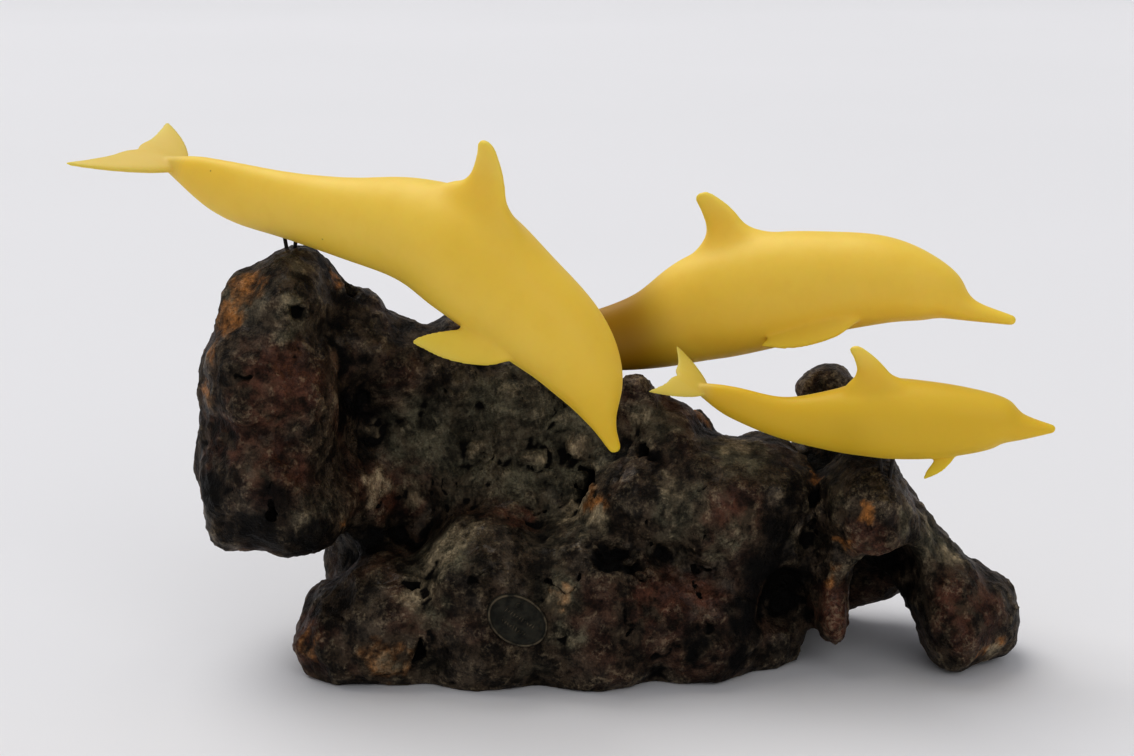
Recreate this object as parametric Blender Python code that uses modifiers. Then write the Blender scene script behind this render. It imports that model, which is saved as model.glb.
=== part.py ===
"""Three dolphins swimming over a burl wood base.

Two grown dolphins and a calf are cast in yellow resin, each as one piece. Each is held
by a wire bent into a narrow V, with its bend set in the wood and its two ends in the belly.
The base is one piece of burl, sawn flat underneath, with an oval badge let into its front.

The origin is on the sawn underside, below the middle of the base. +Z is up, and -Y is
the front, where the badge is. Sizes are in metres unless a name ends in _MM.
"""

import math

import bmesh
import bpy
from mathutils import Matrix, Vector
from mathutils.bvhtree import BVHTree

MM = 0.001

# Driving dimensions. WOOD_LENGTH is measured before the burl's lumps are raised.
WOOD_LENGTH = 0.320
LEAPER_LENGTH = 0.2205
GLIDER_LENGTH = 0.206
CALF_LENGTH = 0.1285
WIRE_DIAMETER = 0.0016
GLUE_GAP = 0.0003

# How the wires are set. The bend's legs lie this far apart, centre to centre.
WIRE_BEND_GAP = 0.0021
WIRE_HEAD_GAP = 0.0054
WIRE_IN_WOOD = 0.006
WIRE_IN_BELLY = 0.007

# The badge is an oval disc with a raised rim.
BADGE_LENGTH = 0.025
BADGE_WIDTH = 0.018
BADGE_THICKNESS = 0.0018
BADGE_RIM_WIDTH = 0.0011
BADGE_RIM_RISE = 0.0005
BADGE_AT_MM = (-18, -44, 28)
BADGE_TURN = math.radians(14)
BADGE_TILT = math.radians(4)
BADGE_ROLL = math.radians(-37)
BADGE_SEAT_REACH = 0.02

# How finely the solids are cut.
RING_SIDES = 16
BODY_RINGS = 22
FIN_SIDES = 8
OVAL_SIDES = 32
WOOD_VOXEL = 0.0032
WOOD_FACETS = 4400

# The wood's lobes: centre, then half-sizes along X, Y and Z, in millimetres at the
# length that the lobes have together. They are scaled so that the wood is WOOD_LENGTH long.
WOOD_LOBES_MM = {
    "left shoulder": ((-99, 0, 136), (15, 28, 21)),
    "left shoulder, inner side": ((-91, 2, 136), (10, 18, 12)),
    "left shoulder, outer side": ((-117, -2, 132), (10, 22, 17)),
    "left shoulder, lower": ((-111.5, -3, 110), (24, 38, 28)),
    "left lobe": ((-110, -5, 75), (28, 42, 30)),
    "left lobe, lower left": ((-120, -10, 62), (15, 30, 17)),
    "left lobe, lower lip": ((-102, -8, 61.5), (25, 36, 17)),
    "left lobe, inner side": ((-95, -2, 94), (15, 36, 36)),
    "ridge, high end": ((-77, 12, 120), (10, 22, 19)),
    "ridge, middle": ((-65, 16, 107), (18, 24, 21)),
    "ridge, low end": ((-44, 18, 105), (13, 23, 23)),
    "hollow wall, left": ((-54, 24, 78), (32, 26, 32)),
    "hollow wall, middle": ((-19, 24, 76), (34, 25, 29)),
    "hollow wall, front rim": ((-21, 11, 97), (17, 12, 17)),
    "hollow wall, right": ((13, 24, 75), (24, 26, 26)),
    "middle peak": ((27, 14, 89), (12, 20, 14)),
    "middle peak, tip": ((25, -1, 99), (9, 9, 12)),
    "middle peak, front": ((37, 5, 82), (14, 24, 14)),
    "saddle": ((52, 18, 69), (18, 22, 9)),
    "small knob": ((51, 25, 84), (5.5, 8, 8)),
    "hollow wall, foot": ((-20, 15, 55), (62, 22, 22)),
    "neck of the left lobe": ((-77, 14, 62), (16, 24, 26)),
    "left foot": ((-84, -14, 11), (18, 28, 21)),
    "left foot, inner": ((-64, -18, 18), (23, 28, 28)),
    "front bulge, left": ((-30, -18, 21), (31, 31, 37)),
    "front bulge, middle": ((9, -16, 20), (33, 33, 38)),
    "front bulge, right": ((44, -10, 16), (31, 34, 32)),
    "front bulge, end": ((70, 2, 14), (22, 30, 27)),
    "core, left": ((-35, 22, 25), (60, 30, 36)),
    "core, right": ((33, 26, 32), (48, 32, 42)),
    "right block, left shoulder": ((28, -4, 62), (21, 28, 19)),
    "right block": ((55, -6, 60), (29, 32, 24)),
    "right block, corner": ((76, 0, 62), (16, 32, 22)),
    "right block, lower": ((68, -2, 37), (26, 30, 23)),
    "back knob": ((101, 28, 99), (11, 13, 8)),
    "back knob, side": ((92, 26, 96), (6, 10, 6)),
    "right arm, top": ((109, 24, 74), (18, 18, 25)),
    "right arm": ((110, -16, 62), (18, 28, 22)),
    "right leg, top": ((125, -6, 46), (14, 27, 17)),
    "right leg": ((140, -9, 30), (14, 25, 18)),
    "right foot": ((155, -6, 17.5), (18, 21, 16)),
    "right foot, front": ((144, -15, 18), (14, 24, 20)),
    "stub leg, top": ((100, -18, 43), (5, 13, 19)),
    "stub leg, toe": ((99, -20, 20), (6, 13, 12)),
    "back of the cleft": ((94, 28, 52), (24, 20, 25)),
    "back heel": ((92, 30, 13), (22, 16, 20)),
    "back of the right leg": ((119, 20, 53), (15, 18, 22)),
    "back of the arch": ((117, 26, 36), (25, 16, 28)),
}
WOOD_HOLLOWS_MM = {
    "arch behind the stub leg": ((119, -26, 37), (11, 26, 17)),
    "cleft": ((92, -25, 69), (3, 30, 28)),
    "cave under the right block": ((81, -34, 28), (14, 24, 17)),
    "cave under the left lobe": ((-75, -34, 50), (13, 22, 7)),
    "split beside the left shoulder": ((-83, -10, 141), (2.5, 26, 12)),
}

# The burl's lumps: how wide one is, and how far it lifts the surface.
BURL_LUMPS = ((0.030, 0.0060), (0.013, 0.0030))

# Half-width of the body as a share of its half-height, from the beak (0) to the tail (1).
WIDTH_SHARES = (
    (0.00, 1.25),
    (0.05, 1.15),
    (0.12, 0.98),
    (0.30, 0.88),
    (0.50, 0.84),
    (0.75, 0.66),
    (1.00, 0.46),
)

# Fin outlines: how far along the span, then the front and the rear edge there.
# The back fin's edges are shares of its base, and the others' are shares of the span.
BACK_FIN_EDGES = (
    (-0.40, -0.15, 1.30),
    (0.00, 0.05, 1.10),
    (0.15, 0.24, 0.95),
    (0.40, 0.40, 0.865),
    (0.70, 0.55, 0.89),
    (0.92, 0.69, 0.94),
    (1.00, 0.76, 0.92),
)
FLIPPER_EDGES = (
    (-0.30, -0.14, 0.18),
    (0.08, -0.23, 0.22),
    (0.45, -0.18, 0.21),
    (0.72, -0.08, 0.20),
    (0.92, 0.04, 0.175),
    (1.00, 0.09, 0.145),
)
FLUKE_EDGES = (
    (0.00, -0.10, 0.52),
    (0.16, -0.06, 0.59),
    (0.42, 0.09, 0.62),
    (0.70, 0.34, 0.70),
    (0.90, 0.58, 0.77),
    (1.00, 0.73, 0.80),
)

# The flukes' sizes as shares of the dolphin's length.
FLUKE_SPAN = 0.25
FLUKE_CHORD = 0.17
FLUKE_THICKNESS = 0.023

# Where each wire stands on the wood, in the lobes' millimetres (X, Y).
PERCH_MM = {
    "leaping_dolphin": (-101, 0),
    "gliding_dolphin": (13, 26),
    "calf_dolphin": (115, -29),
}

# How each dolphin is posed. rise is the free length of its wire in metres, and "wire at" is
# the share of the body where the wire enters the belly. Roll and pitch are in degrees.
POSES = {
    "leaping_dolphin": {
        "roll": 12,
        "rise": 0.0040,
        "wire at": 0.758,
        "back fin": (0.322, 0.155, 0.101, -0.06),
        "fluke pitch": -3,
        "flipper": (0.258, 0.152, 44, 69, 32),
    },
    "gliding_dolphin": {
        "roll": 4,
        "rise": 0.0028,
        "wire at": 0.815,
        "back fin": (0.411, 0.153, 0.100, -0.10),
        "fluke pitch": 0,
        "flipper": (0.312, 0.152, 64, 54, 42),
    },
    "calf_dolphin": {
        "roll": 20,
        "rise": 0.0083,
        "wire at": 0.470,
        "back fin": (0.370, 0.185, 0.120, 0.0),
        "fluke pitch": 6,
        "flipper": (0.283, 0.108, 34, 74, 58),
    },
}

# Each dolphin's stations from the beak to the tail: the spine's point, then the body's
# half-height there, in millimetres at the length that the spine has in this list.
LEAPER_MM = (
    ((22, -60, 100), 2.1),
    ((18, -58, 109), 4.7),
    ((13, -55, 123.5), 13.0),
    ((3.5, -51, 137.3), 17.8),
    ((-13.5, -43, 150.8), 20.8),
    ((-33, -34, 165), 22.4),
    ((-52, -24, 172), 19.3),
    ((-76, -12, 175), 16.1),
    ((-101, 2, 177.8), 13.4),
    ((-125, 13, 182), 12.0),
    ((-148, 26, 189.5), 7.5),
)
GLIDER_MM = (
    ((161, -30, 139), 1.8),
    ((146, -24, 142), 4.6),
    ((136, -19, 147), 10.9),
    ((119, -12, 150), 16.0),
    ((100, -4, 148), 18.8),
    ((78, 5, 143), 21.7),
    ((55, 13, 135), 21.0),
    ((34, 20, 124.4), 15.6),
    ((13, 27, 118.6), 11.9),
    ((-3, 37, 118), 8.3),
    ((-16, 50, 124), 4.8),
)
CALF_MM = (
    ((175, -48, 105), 1.6),
    ((164, -45, 105), 5.2),
    ((157, -43, 106.3), 9.5),
    ((146, -40, 105.8), 12.7),
    ((132, -36, 105), 15.1),
    ((115, -31, 104.4), 15.8),
    ((100, -26, 102.1), 13.0),
    ((80, -22, 102.1), 8.9),
    ((62, -19, 107.1), 7.0),
    ((50, -16, 111.4), 5.2),
)


def clear_scene():
    for old in list(bpy.data.objects):
        bpy.data.objects.remove(old)


def new_collection(name, shown=True):
    made = bpy.data.collections.new(name)
    made.hide_render = not shown
    bpy.context.scene.collection.children.link(made)
    return made


def new_material(name, colour, roughness, metallic=0.0):
    made = bpy.data.materials.new(name)
    made.use_nodes = True
    shader = made.node_tree.nodes["Principled BSDF"]
    shader.inputs["Base Color"].default_value = (*colour, 1.0)
    shader.inputs["Roughness"].default_value = roughness
    shader.inputs["Metallic"].default_value = metallic
    return made


def object_from_bmesh(bm, name, collection, material=None):
    """Puts a bmesh's faces in a new object, facing outwards and shaded smooth."""
    bmesh.ops.recalc_face_normals(bm, faces=bm.faces)
    mesh = bpy.data.meshes.new(name)
    bm.to_mesh(mesh)
    bm.free()
    mesh.shade_smooth()
    made = bpy.data.objects.new(name, mesh)
    collection.objects.link(made)
    if material:
        mesh.materials.append(material)
    return made


def as_helper(obj):
    obj.hide_render = True
    obj.display_type = "WIRE"
    return obj


def evaluated_mesh(obj):
    bpy.context.view_layer.update()
    graph = bpy.context.evaluated_depsgraph_get()
    return bpy.data.meshes.new_from_object(obj.evaluated_get(graph))


def blend_rows(a, b, c, d, t):
    """The smooth curve from row b (t = 0) to row c (t = 1), led by the rows a and d."""
    made = []
    for p, q, r, s in zip(a, b, c, d):
        bend = 2 * p - 5 * q + 4 * r - s
        made.append(0.5 * (2 * q + (r - p) * t + bend * t * t + (3 * q - p - 3 * r + s) * t**3))
    return made


def smooth_rows(rows, count):
    """count rows along the smooth curve through the given ones, evenly spaced between them."""
    made = []
    last = len(rows) - 1
    for step in range(count):
        place = step / (count - 1) * last
        i = min(int(place), last - 1)
        made.append(
            blend_rows(rows[max(i - 1, 0)], rows[i], rows[i + 1], rows[min(i + 2, last)], place - i)
        )
    return made


def along_table(table, share):
    """The value of a table of (share, value) pairs at a share, on straight lines between them."""
    for (a, low), (b, high) in zip(table, table[1:]):
        if share <= b:
            return low + (high - low) * (share - a) / (b - a)
    return table[-1][1]


def loft(name, rings, collection):
    """A closed skin over rings of points, with its two ends filled by one face each."""
    bm = bmesh.new()
    rows = [[bm.verts.new(p) for p in ring] for ring in rings]
    for a, b in zip(rows, rows[1:]):
        for i in range(len(a)):
            j = (i + 1) % len(a)
            bm.faces.new((a[i], a[j], b[j], b[i]))
    bm.faces.new(rows[0])
    bm.faces.new(rows[-1])
    return object_from_bmesh(bm, name, collection)


def oval_ring(centre, across, up, sides):
    """Points on an oval round centre, whose half-axes are the vectors across and up."""
    turns = [2 * math.pi * (i + 0.5) / sides for i in range(sides)]
    return [centre + across * math.cos(t) + up * math.sin(t) for t in turns]


class Dolphin:
    """One dolphin's spine and the directions along it. roll leans its back towards the front."""

    def __init__(self, stations_mm, length, roll):
        knots = [Vector(place) for place, _ in stations_mm]
        steps = [(b - a).length for a, b in zip(knots, knots[1:])]
        scale = length / sum(steps)
        rows = [(*place, height) for place, height in stations_mm]
        self.length = length
        self.rows = [[value * scale for value in row] for row in smooth_rows(rows, BODY_RINGS)]
        self.lean = Vector((0, -math.sin(roll), math.cos(roll)))
        points = [Vector(row[:3]) for row in self.rows]
        travelled = [0.0]
        for a, b in zip(points, points[1:]):
            travelled.append(travelled[-1] + (b - a).length)
        self.shares = [distance / travelled[-1] for distance in travelled]

    def move(self, by):
        self.rows = [[*(Vector(row[:3]) + by), row[3]] for row in self.rows]

    def at(self, share):
        """(point, half-height) on the spine, at a share of the way from beak to tail."""
        for i in range(len(self.shares) - 1):
            a, b = self.shares[i], self.shares[i + 1]
            if share <= b:
                break
        mix = (share - a) / (b - a)
        row = [p + (q - p) * mix for p, q in zip(self.rows[i], self.rows[i + 1])]
        return Vector(row[:3]), row[3]

    def axes(self, share):
        """Directions at a share of the body: to the tail, out of the back, and to the near side."""
        reach = 0.02
        low, high = max(share - reach, 0.0), min(share + reach, 1.0)
        tail = (self.at(high)[0] - self.at(low)[0]).normalized()
        back = (self.lean - tail * self.lean.dot(tail)).normalized()
        return tail, back, back.cross(tail).normalized()

    def half_width(self, share):
        return self.at(share)[1] * along_table(WIDTH_SHARES, share)

    def belly(self, share):
        """The point on the belly at a share of the body."""
        point, height = self.at(share)
        return point - self.axes(share)[1] * height


def body_rings(dolphin):
    """Oval rings from the beak's rounded tip to a flat tail end inside the flukes."""
    rings = []
    for share in dolphin.shares:
        point, height = dolphin.at(share)
        _, back, side = dolphin.axes(share)
        rings.append(oval_ring(point, side * dolphin.half_width(share), back * height, RING_SIDES))
    beak, height = dolphin.at(0.0)
    tail, back, side = dolphin.axes(0.0)
    for reach, size in ((0.55, 0.80), (0.90, 0.40)):
        tip = beak - tail * height * reach
        across = side * dolphin.half_width(0.0) * size
        rings.insert(0, oval_ring(tip, across, back * height * size, RING_SIDES))
    end, height = dolphin.at(1.0)
    tail, back, side = dolphin.axes(1.0)
    flat_end = end + tail * dolphin.length * 0.035
    rings.append(oval_ring(flat_end, side * height * 0.50, back * height * 0.22, RING_SIDES))
    return rings


def fin_rings(root, span, chord, thick, edges):
    """Thin oval sections along a fin. span, chord and thick are vectors: the fin's reach,
    its width for an edge value of 1, and half its thickness at the root."""
    rings = []
    for share, front, rear in edges:
        centre = root + span * share + chord * (front + rear) / 2
        thinning = 1.0 - 0.72 * max(share, 0.0)
        rings.append(oval_ring(centre, chord * (rear - front) / 2, thick * thinning, FIN_SIDES))
    return rings


def back_fin(dolphin, front, base, height, lean):
    """The fin on the back, from a share of the body on. base and height are shares of the
    length, and lean pushes the tip back by a share of the base."""
    share = front + base / 2
    point, half_height = dolphin.at(share)
    tail, back, side = dolphin.axes(share)
    chord = tail * base * dolphin.length
    root = point + back * half_height * 0.97 - chord / 2
    span = back * height * dolphin.length + chord * lean
    thick = side * base * dolphin.length * 0.14
    return fin_rings(root, span, chord, thick, BACK_FIN_EDGES)


def flipper(dolphin, side_sign, share, span_share, sweep, droop, low):
    """A flipper rooted at a share of the body. The angles are in degrees: sweep turns it to
    the tail, droop turns it down, and low is how far down the flank its root lies."""
    sweep, droop, low = (math.radians(angle) for angle in (sweep, droop, low))
    point, half_height = dolphin.at(share)
    tail, back, side = dolphin.axes(share)
    out = side * side_sign
    root = point + out * dolphin.half_width(share) * math.cos(low) * 0.86
    root -= back * half_height * math.sin(low) * 0.86
    away = out * math.cos(droop) - back * math.sin(droop)
    reach = tail * math.sin(sweep) + away * math.cos(sweep)
    width = (tail * math.cos(sweep) - away * math.sin(sweep)).normalized()
    thick = reach.cross(width).normalized()
    span = span_share * dolphin.length
    return fin_rings(root, reach * span, width * span, thick * span * 0.085, FLIPPER_EDGES)


def fluke_rings(dolphin, pitch):
    """Both flukes in one loft from tip to tip. pitch lifts their rear edge."""
    end, _ = dolphin.at(1.0)
    tail, back, side = dolphin.axes(1.0)
    chord = (tail * math.cos(pitch) + back * math.sin(pitch)) * FLUKE_CHORD * dolphin.length
    thick = chord.cross(side).normalized() * FLUKE_THICKNESS / 2 * dolphin.length
    rings = []
    mirrored = [(-share, front, rear) for share, front, rear in reversed(FLUKE_EDGES)]
    for share, front, rear in mirrored + list(FLUKE_EDGES[1:]):
        centre = end + side * FLUKE_SPAN / 2 * dolphin.length * share
        centre += chord * (front + rear) / 2
        thinning = 1.0 - 0.75 * abs(share)
        rings.append(oval_ring(centre, chord * (rear - front) / 2, thick * thinning, FIN_SIDES))
    return rings


def add_boolean(obj, other, operation):
    modifier = obj.modifiers.new(other.name, "BOOLEAN")
    modifier.operation = operation
    modifier.object = other


def wire_route(foot, belly, along):
    """The V's centreline: from inside the belly, round the bend in the wood, and back up."""
    up = (belly - foot).normalized()
    along = (along - up * along.dot(up)).normalized()
    bend = WIRE_BEND_GAP / 2
    centre = foot - up * (WIRE_IN_WOOD - bend)
    points = []
    for sign in (1, -1):
        low = centre + along * bend * sign
        high = belly + along * WIRE_HEAD_GAP / 2 * sign
        leg = (high - low).normalized()
        points.append((low, high + leg * WIRE_IN_BELLY))
    steps = 6
    turns = [math.pi * i / steps for i in range(1, steps)]
    curve = [centre + along * bend * math.cos(t) - up * bend * math.sin(t) for t in turns]
    return [points[0][1], points[0][0], *curve, points[1][0], points[1][1]]


def wire_object(name, route, radius, collection):
    """A round wire along a route, with closed ends."""
    data = bpy.data.curves.new(name, "CURVE")
    data.dimensions = "3D"
    data.bevel_depth = radius
    data.bevel_resolution = 2
    data.use_fill_caps = True
    line = data.splines.new("POLY")
    line.points.add(len(route) - 1)
    for point, place in zip(line.points, route):
        point.co = (*place, 1.0)
    curve = bpy.data.objects.new(name, data)
    bpy.context.scene.collection.objects.link(curve)
    bm = bmesh.new()
    bm.from_mesh(evaluated_mesh(curve))
    bmesh.ops.remove_doubles(bm, verts=bm.verts, dist=1e-6)
    bpy.data.objects.remove(curve)
    return object_from_bmesh(bm, name, collection)


def ellipsoids(name, table_mm, scale, collection):
    """One mesh of overlapping ovals, each a sphere drawn out to its half-sizes."""
    bm = bmesh.new()
    for centre, half in table_mm.values():
        place = Matrix.Translation(Vector(centre) * scale)
        size = Matrix.Diagonal((*(Vector(half) * scale), 1.0))
        bmesh.ops.create_uvsphere(
            bm, u_segments=32, v_segments=20, radius=1.0, matrix=place @ size
        )
    return object_from_bmesh(bm, name, collection)


def wood_scale():
    """Metres for each millimetre of the lobes' table, so that the wood has its length."""
    left = min(centre[0] - half[0] for centre, half in WOOD_LOBES_MM.values())
    right = max(centre[0] + half[0] for centre, half in WOOD_LOBES_MM.values())
    return WOOD_LENGTH / (right - left)


def add_remesh(obj, smoothing):
    remesh = obj.modifiers.new("grow together", "REMESH")
    remesh.mode = "VOXEL"
    remesh.voxel_size = WOOD_VOXEL
    smooth = obj.modifiers.new("round off", "SMOOTH")
    smooth.factor = 0.5
    smooth.iterations = smoothing


def triangle_count(mesh):
    mesh.calc_loop_triangles()
    return len(mesh.loop_triangles)


def burl(scale, material, collection, helpers):
    """The burl: lobes grown into one body, hollowed, lumpy, and sawn flat underneath."""
    rough = as_helper(ellipsoids("lobes", WOOD_LOBES_MM, scale, helpers))
    add_remesh(rough, 3)
    hollows = as_helper(ellipsoids("hollows", WOOD_HOLLOWS_MM, scale, helpers))
    add_remesh(hollows, 0)
    add_boolean(rough, hollows, "DIFFERENCE")
    add_remesh(rough, 4)
    for i, (width, rise) in enumerate(BURL_LUMPS):
        texture = bpy.data.textures.new(f"burl lumps {i}", "CLOUDS")
        texture.noise_scale = width
        texture.noise_depth = 1
        lumps = rough.modifiers.new(f"burl lumps {i}", "DISPLACE")
        lumps.texture = texture
        lumps.texture_coords = "LOCAL"
        lumps.strength = rise
    share = WOOD_FACETS / triangle_count(evaluated_mesh(rough))
    rough.modifiers.new("fewer facets", "DECIMATE").ratio = min(share, 1.0)
    base = bpy.data.objects.new("burl_base", evaluated_mesh(rough))
    collection.objects.link(base)
    base.data.materials.clear()
    base.data.materials.append(material)
    reach = 2 * WOOD_LENGTH
    bm = bmesh.new()
    bmesh.ops.create_cube(bm, size=reach, matrix=Matrix.Translation((0, 0, -reach / 2)))
    add_boolean(base, as_helper(object_from_bmesh(bm, "saw cut", helpers)), "DIFFERENCE")
    return base


def oval_prism(bm, length, width, low, high):
    """An upright oval disc between two heights, with its long axis along X."""
    shape = Matrix.Diagonal((length / 2, width / 2, high - low, 1.0))
    place = Matrix.Translation((0, 0, (low + high) / 2))
    made = bmesh.ops.create_cone(
        bm,
        cap_ends=True,
        segments=OVAL_SIDES,
        radius1=1.0,
        radius2=1.0,
        depth=1.0,
        matrix=place @ shape,
    )
    return made["verts"]


def badge_place(scale):
    """The badge's place on the wood: its own +Z looks out of the wood's front."""
    centre = Vector(BADGE_AT_MM) * scale
    facing = Matrix.Rotation(math.radians(90) - BADGE_TILT, 4, "X")
    turn = Matrix.Rotation(BADGE_TURN, 4, "Z")
    return Matrix.Translation(centre) @ turn @ facing @ Matrix.Rotation(BADGE_ROLL, 4, "Z")


def badge(place, material, collection):
    """An oval disc whose front face is sunk inside a narrow rim."""
    bm = bmesh.new()
    oval_prism(bm, BADGE_LENGTH, BADGE_WIDTH, 0, BADGE_THICKNESS)
    front = max(bm.faces, key=lambda face: face.calc_center_median().z)
    bmesh.ops.inset_individual(
        bm, faces=[front], thickness=BADGE_RIM_WIDTH, depth=-BADGE_RIM_RISE
    )
    bmesh.ops.transform(bm, matrix=place, verts=bm.verts)
    made = object_from_bmesh(bm, "oval_badge", collection, material)
    made.data.set_sharp_from_angle(angle=math.radians(40))
    return made


def badge_seat(place, helpers):
    """Cuts the flat, oval seat that the badge is glued into, and all wood in front of it."""
    bm = bmesh.new()
    room = 2 * GLUE_GAP
    oval_prism(bm, BADGE_LENGTH + room, BADGE_WIDTH + room, -GLUE_GAP, BADGE_SEAT_REACH)
    bmesh.ops.transform(bm, matrix=place, verts=bm.verts)
    return as_helper(object_from_bmesh(bm, "badge seat", helpers))


def cast_dolphin(name, dolphin, fins, material, collection, helpers):
    """Joins the body and its fins into one casting."""
    casting = loft(name, body_rings(dolphin), collection)
    casting.data.materials.append(material)
    for label, rings in fins.items():
        add_boolean(casting, as_helper(loft(f"{name} {label}", rings, helpers)), "UNION")
    return casting


def wood_top(base, x, y):
    """The highest point of the wood at a place, looking straight down."""
    bpy.context.view_layer.update()
    tree = BVHTree.FromObject(base, bpy.context.evaluated_depsgraph_get())
    return tree.ray_cast(Vector((x, y, WOOD_LENGTH)), Vector((0, 0, -1)))[0]


def hold_with_wire(name, route, casting, base, looks):
    """Sets a wire into the wood and the belly, in sockets that leave room for glue."""
    material, collection, helpers = looks
    wire = wire_object(name, route, WIRE_DIAMETER / 2, collection)
    wire.data.materials.append(material)
    socket = wire_object(f"{name} socket", route, WIRE_DIAMETER / 2 + GLUE_GAP, helpers)
    as_helper(socket)
    add_boolean(casting, socket, "DIFFERENCE")
    add_boolean(base, socket, "DIFFERENCE")


def main():
    clear_scene()
    sculpture = new_collection("dolphin group sculpture")
    helpers = new_collection("cutters", shown=False)
    wood = new_material("burl wood", (0.055, 0.038, 0.026), 0.62)
    resin = new_material("yellow resin", (0.74, 0.52, 0.13), 0.42)
    steel = new_material("blackened wire", (0.02, 0.018, 0.016), 0.45, 0.8)
    bronze = new_material("dark bronze", (0.035, 0.033, 0.026), 0.5, 0.7)

    scale = wood_scale()
    base = burl(scale, wood, sculpture, helpers)
    looks = (steel, sculpture, helpers)

    top_of_wood = {name: wood_top(base, x * scale, y * scale) for name, (x, y) in PERCH_MM.items()}
    for name, stations, length in (
        ("leaping_dolphin", LEAPER_MM, LEAPER_LENGTH),
        ("gliding_dolphin", GLIDER_MM, GLIDER_LENGTH),
        ("calf_dolphin", CALF_MM, CALF_LENGTH),
    ):
        pose = POSES[name]
        dolphin = Dolphin(stations, length, math.radians(pose["roll"]))
        foot = top_of_wood[name]
        belly = foot + Vector((0, 0, pose["rise"]))
        dolphin.move(belly - dolphin.belly(pose["wire at"]))
        fins = {
            "back fin": back_fin(dolphin, *pose["back fin"]),
            "flukes": fluke_rings(dolphin, math.radians(pose["fluke pitch"])),
            "near flipper": flipper(dolphin, 1, *pose["flipper"]),
            "far flipper": flipper(dolphin, -1, *pose["flipper"]),
        }
        casting = cast_dolphin(name, dolphin, fins, resin, sculpture, helpers)
        route = wire_route(foot, belly, dolphin.axes(pose["wire at"])[0])
        hold_with_wire(f"{name}_wire", route, casting, base, looks)

    place = badge_place(scale)
    add_boolean(base, badge_seat(place, helpers), "DIFFERENCE")
    badge(place, bronze, sculpture)


main()
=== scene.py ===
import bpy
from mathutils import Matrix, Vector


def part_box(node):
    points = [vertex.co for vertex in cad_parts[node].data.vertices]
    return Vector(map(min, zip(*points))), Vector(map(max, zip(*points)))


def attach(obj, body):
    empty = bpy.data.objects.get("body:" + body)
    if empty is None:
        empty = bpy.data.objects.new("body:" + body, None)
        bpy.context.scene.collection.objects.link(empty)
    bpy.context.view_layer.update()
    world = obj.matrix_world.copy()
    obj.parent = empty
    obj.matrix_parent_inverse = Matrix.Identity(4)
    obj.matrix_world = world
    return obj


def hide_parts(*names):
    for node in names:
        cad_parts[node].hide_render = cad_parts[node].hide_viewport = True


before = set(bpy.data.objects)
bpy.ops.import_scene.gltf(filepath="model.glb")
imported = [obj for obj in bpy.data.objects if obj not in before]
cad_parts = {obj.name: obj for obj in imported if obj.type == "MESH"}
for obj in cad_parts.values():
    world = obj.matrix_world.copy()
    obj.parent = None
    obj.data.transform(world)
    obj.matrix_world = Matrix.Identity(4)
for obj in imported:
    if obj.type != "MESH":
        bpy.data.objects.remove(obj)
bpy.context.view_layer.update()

import math

import bmesh
import bpy
import numpy as np
from mathutils import Matrix, Vector


# The base: one piece of dark burl or driftwood, sawn flat underneath. Its bulges, pits,
# drying cracks and torn grain are raised on the carved block's own skin, and its weathered
# grey hollow, red-brown bulges and paler broken edges are one finish over the whole piece.
# The finish also paints shade into the pits, cracks, creases and hollows, shadow into the
# deepest recesses, highlights on raised points, and light on the left lobe's left edge.

# The size of the cubes that the skin is closed with, and how near a crack, in mm, the faces
# are divided, once for each reach.
WOOD_VOXEL = 0.00150
SPLIT_REACHES = (2.1, 1.0)

# Where holes were left by rot or a lost knot: centre in mm, radius, depth, and how tall it
# is for its width.
WOOD_PITS = (
    ((-99, -27, 141), 3.6, 3.6, 0.9), ((-99, -32, 127), 1.8, 2.0, 0.8),
    ((8, -7, 68), 6.0, 6.0, 1.1), ((29, -15, 85), 4.6, 4.5, 1.0),
    ((17, -37, 50), 7.2, 5.0, 0.8), ((26, -36, 46), 5.0, 3.5, 0.7),
    ((-55, -43, 16), 2.2, 5.0, 2.4), ((-59, -36, 40), 2.6, 3.0, 0.8),
    ((-34, -44, 44), 1.8, 2.2, 0.9), ((-108, -47, 70), 1.8, 2.0, 1.4),
    ((-83, 4, 143), 3.6, 5.0, 1.8), ((-77, -4, 101), 4.0, 1.2, 1.6),
    ((-72, -6, 60), 2.6, 1.8, 0.8),
    ((-1, -48, 22), 2.6, 2.0, 1.0), ((-27, 6, 103), 3.0, 2.0, 1.0),
    ((93, -20, 66), 3.0, 4.0, 2.5), ((51, -42, 25), 3.0, 2.0, 0.7),
    ((44, -36, 47), 3.0, 2.6, 0.8), ((116, -38, 66), 3.4, 2.4, 1.0),
    ((-84, -42, 26), 2.6, 2.0, 1.2),
    ((-118, -46, 96), 3.0, 1.8, 1.2), ((-96, -42, 92), 2.6, 1.8, 1.0),
    ((130, -34, 30), 3.0, 2.4, 1.0), ((68, -38, 70), 2.6, 2.0, 1.0),
)

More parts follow.
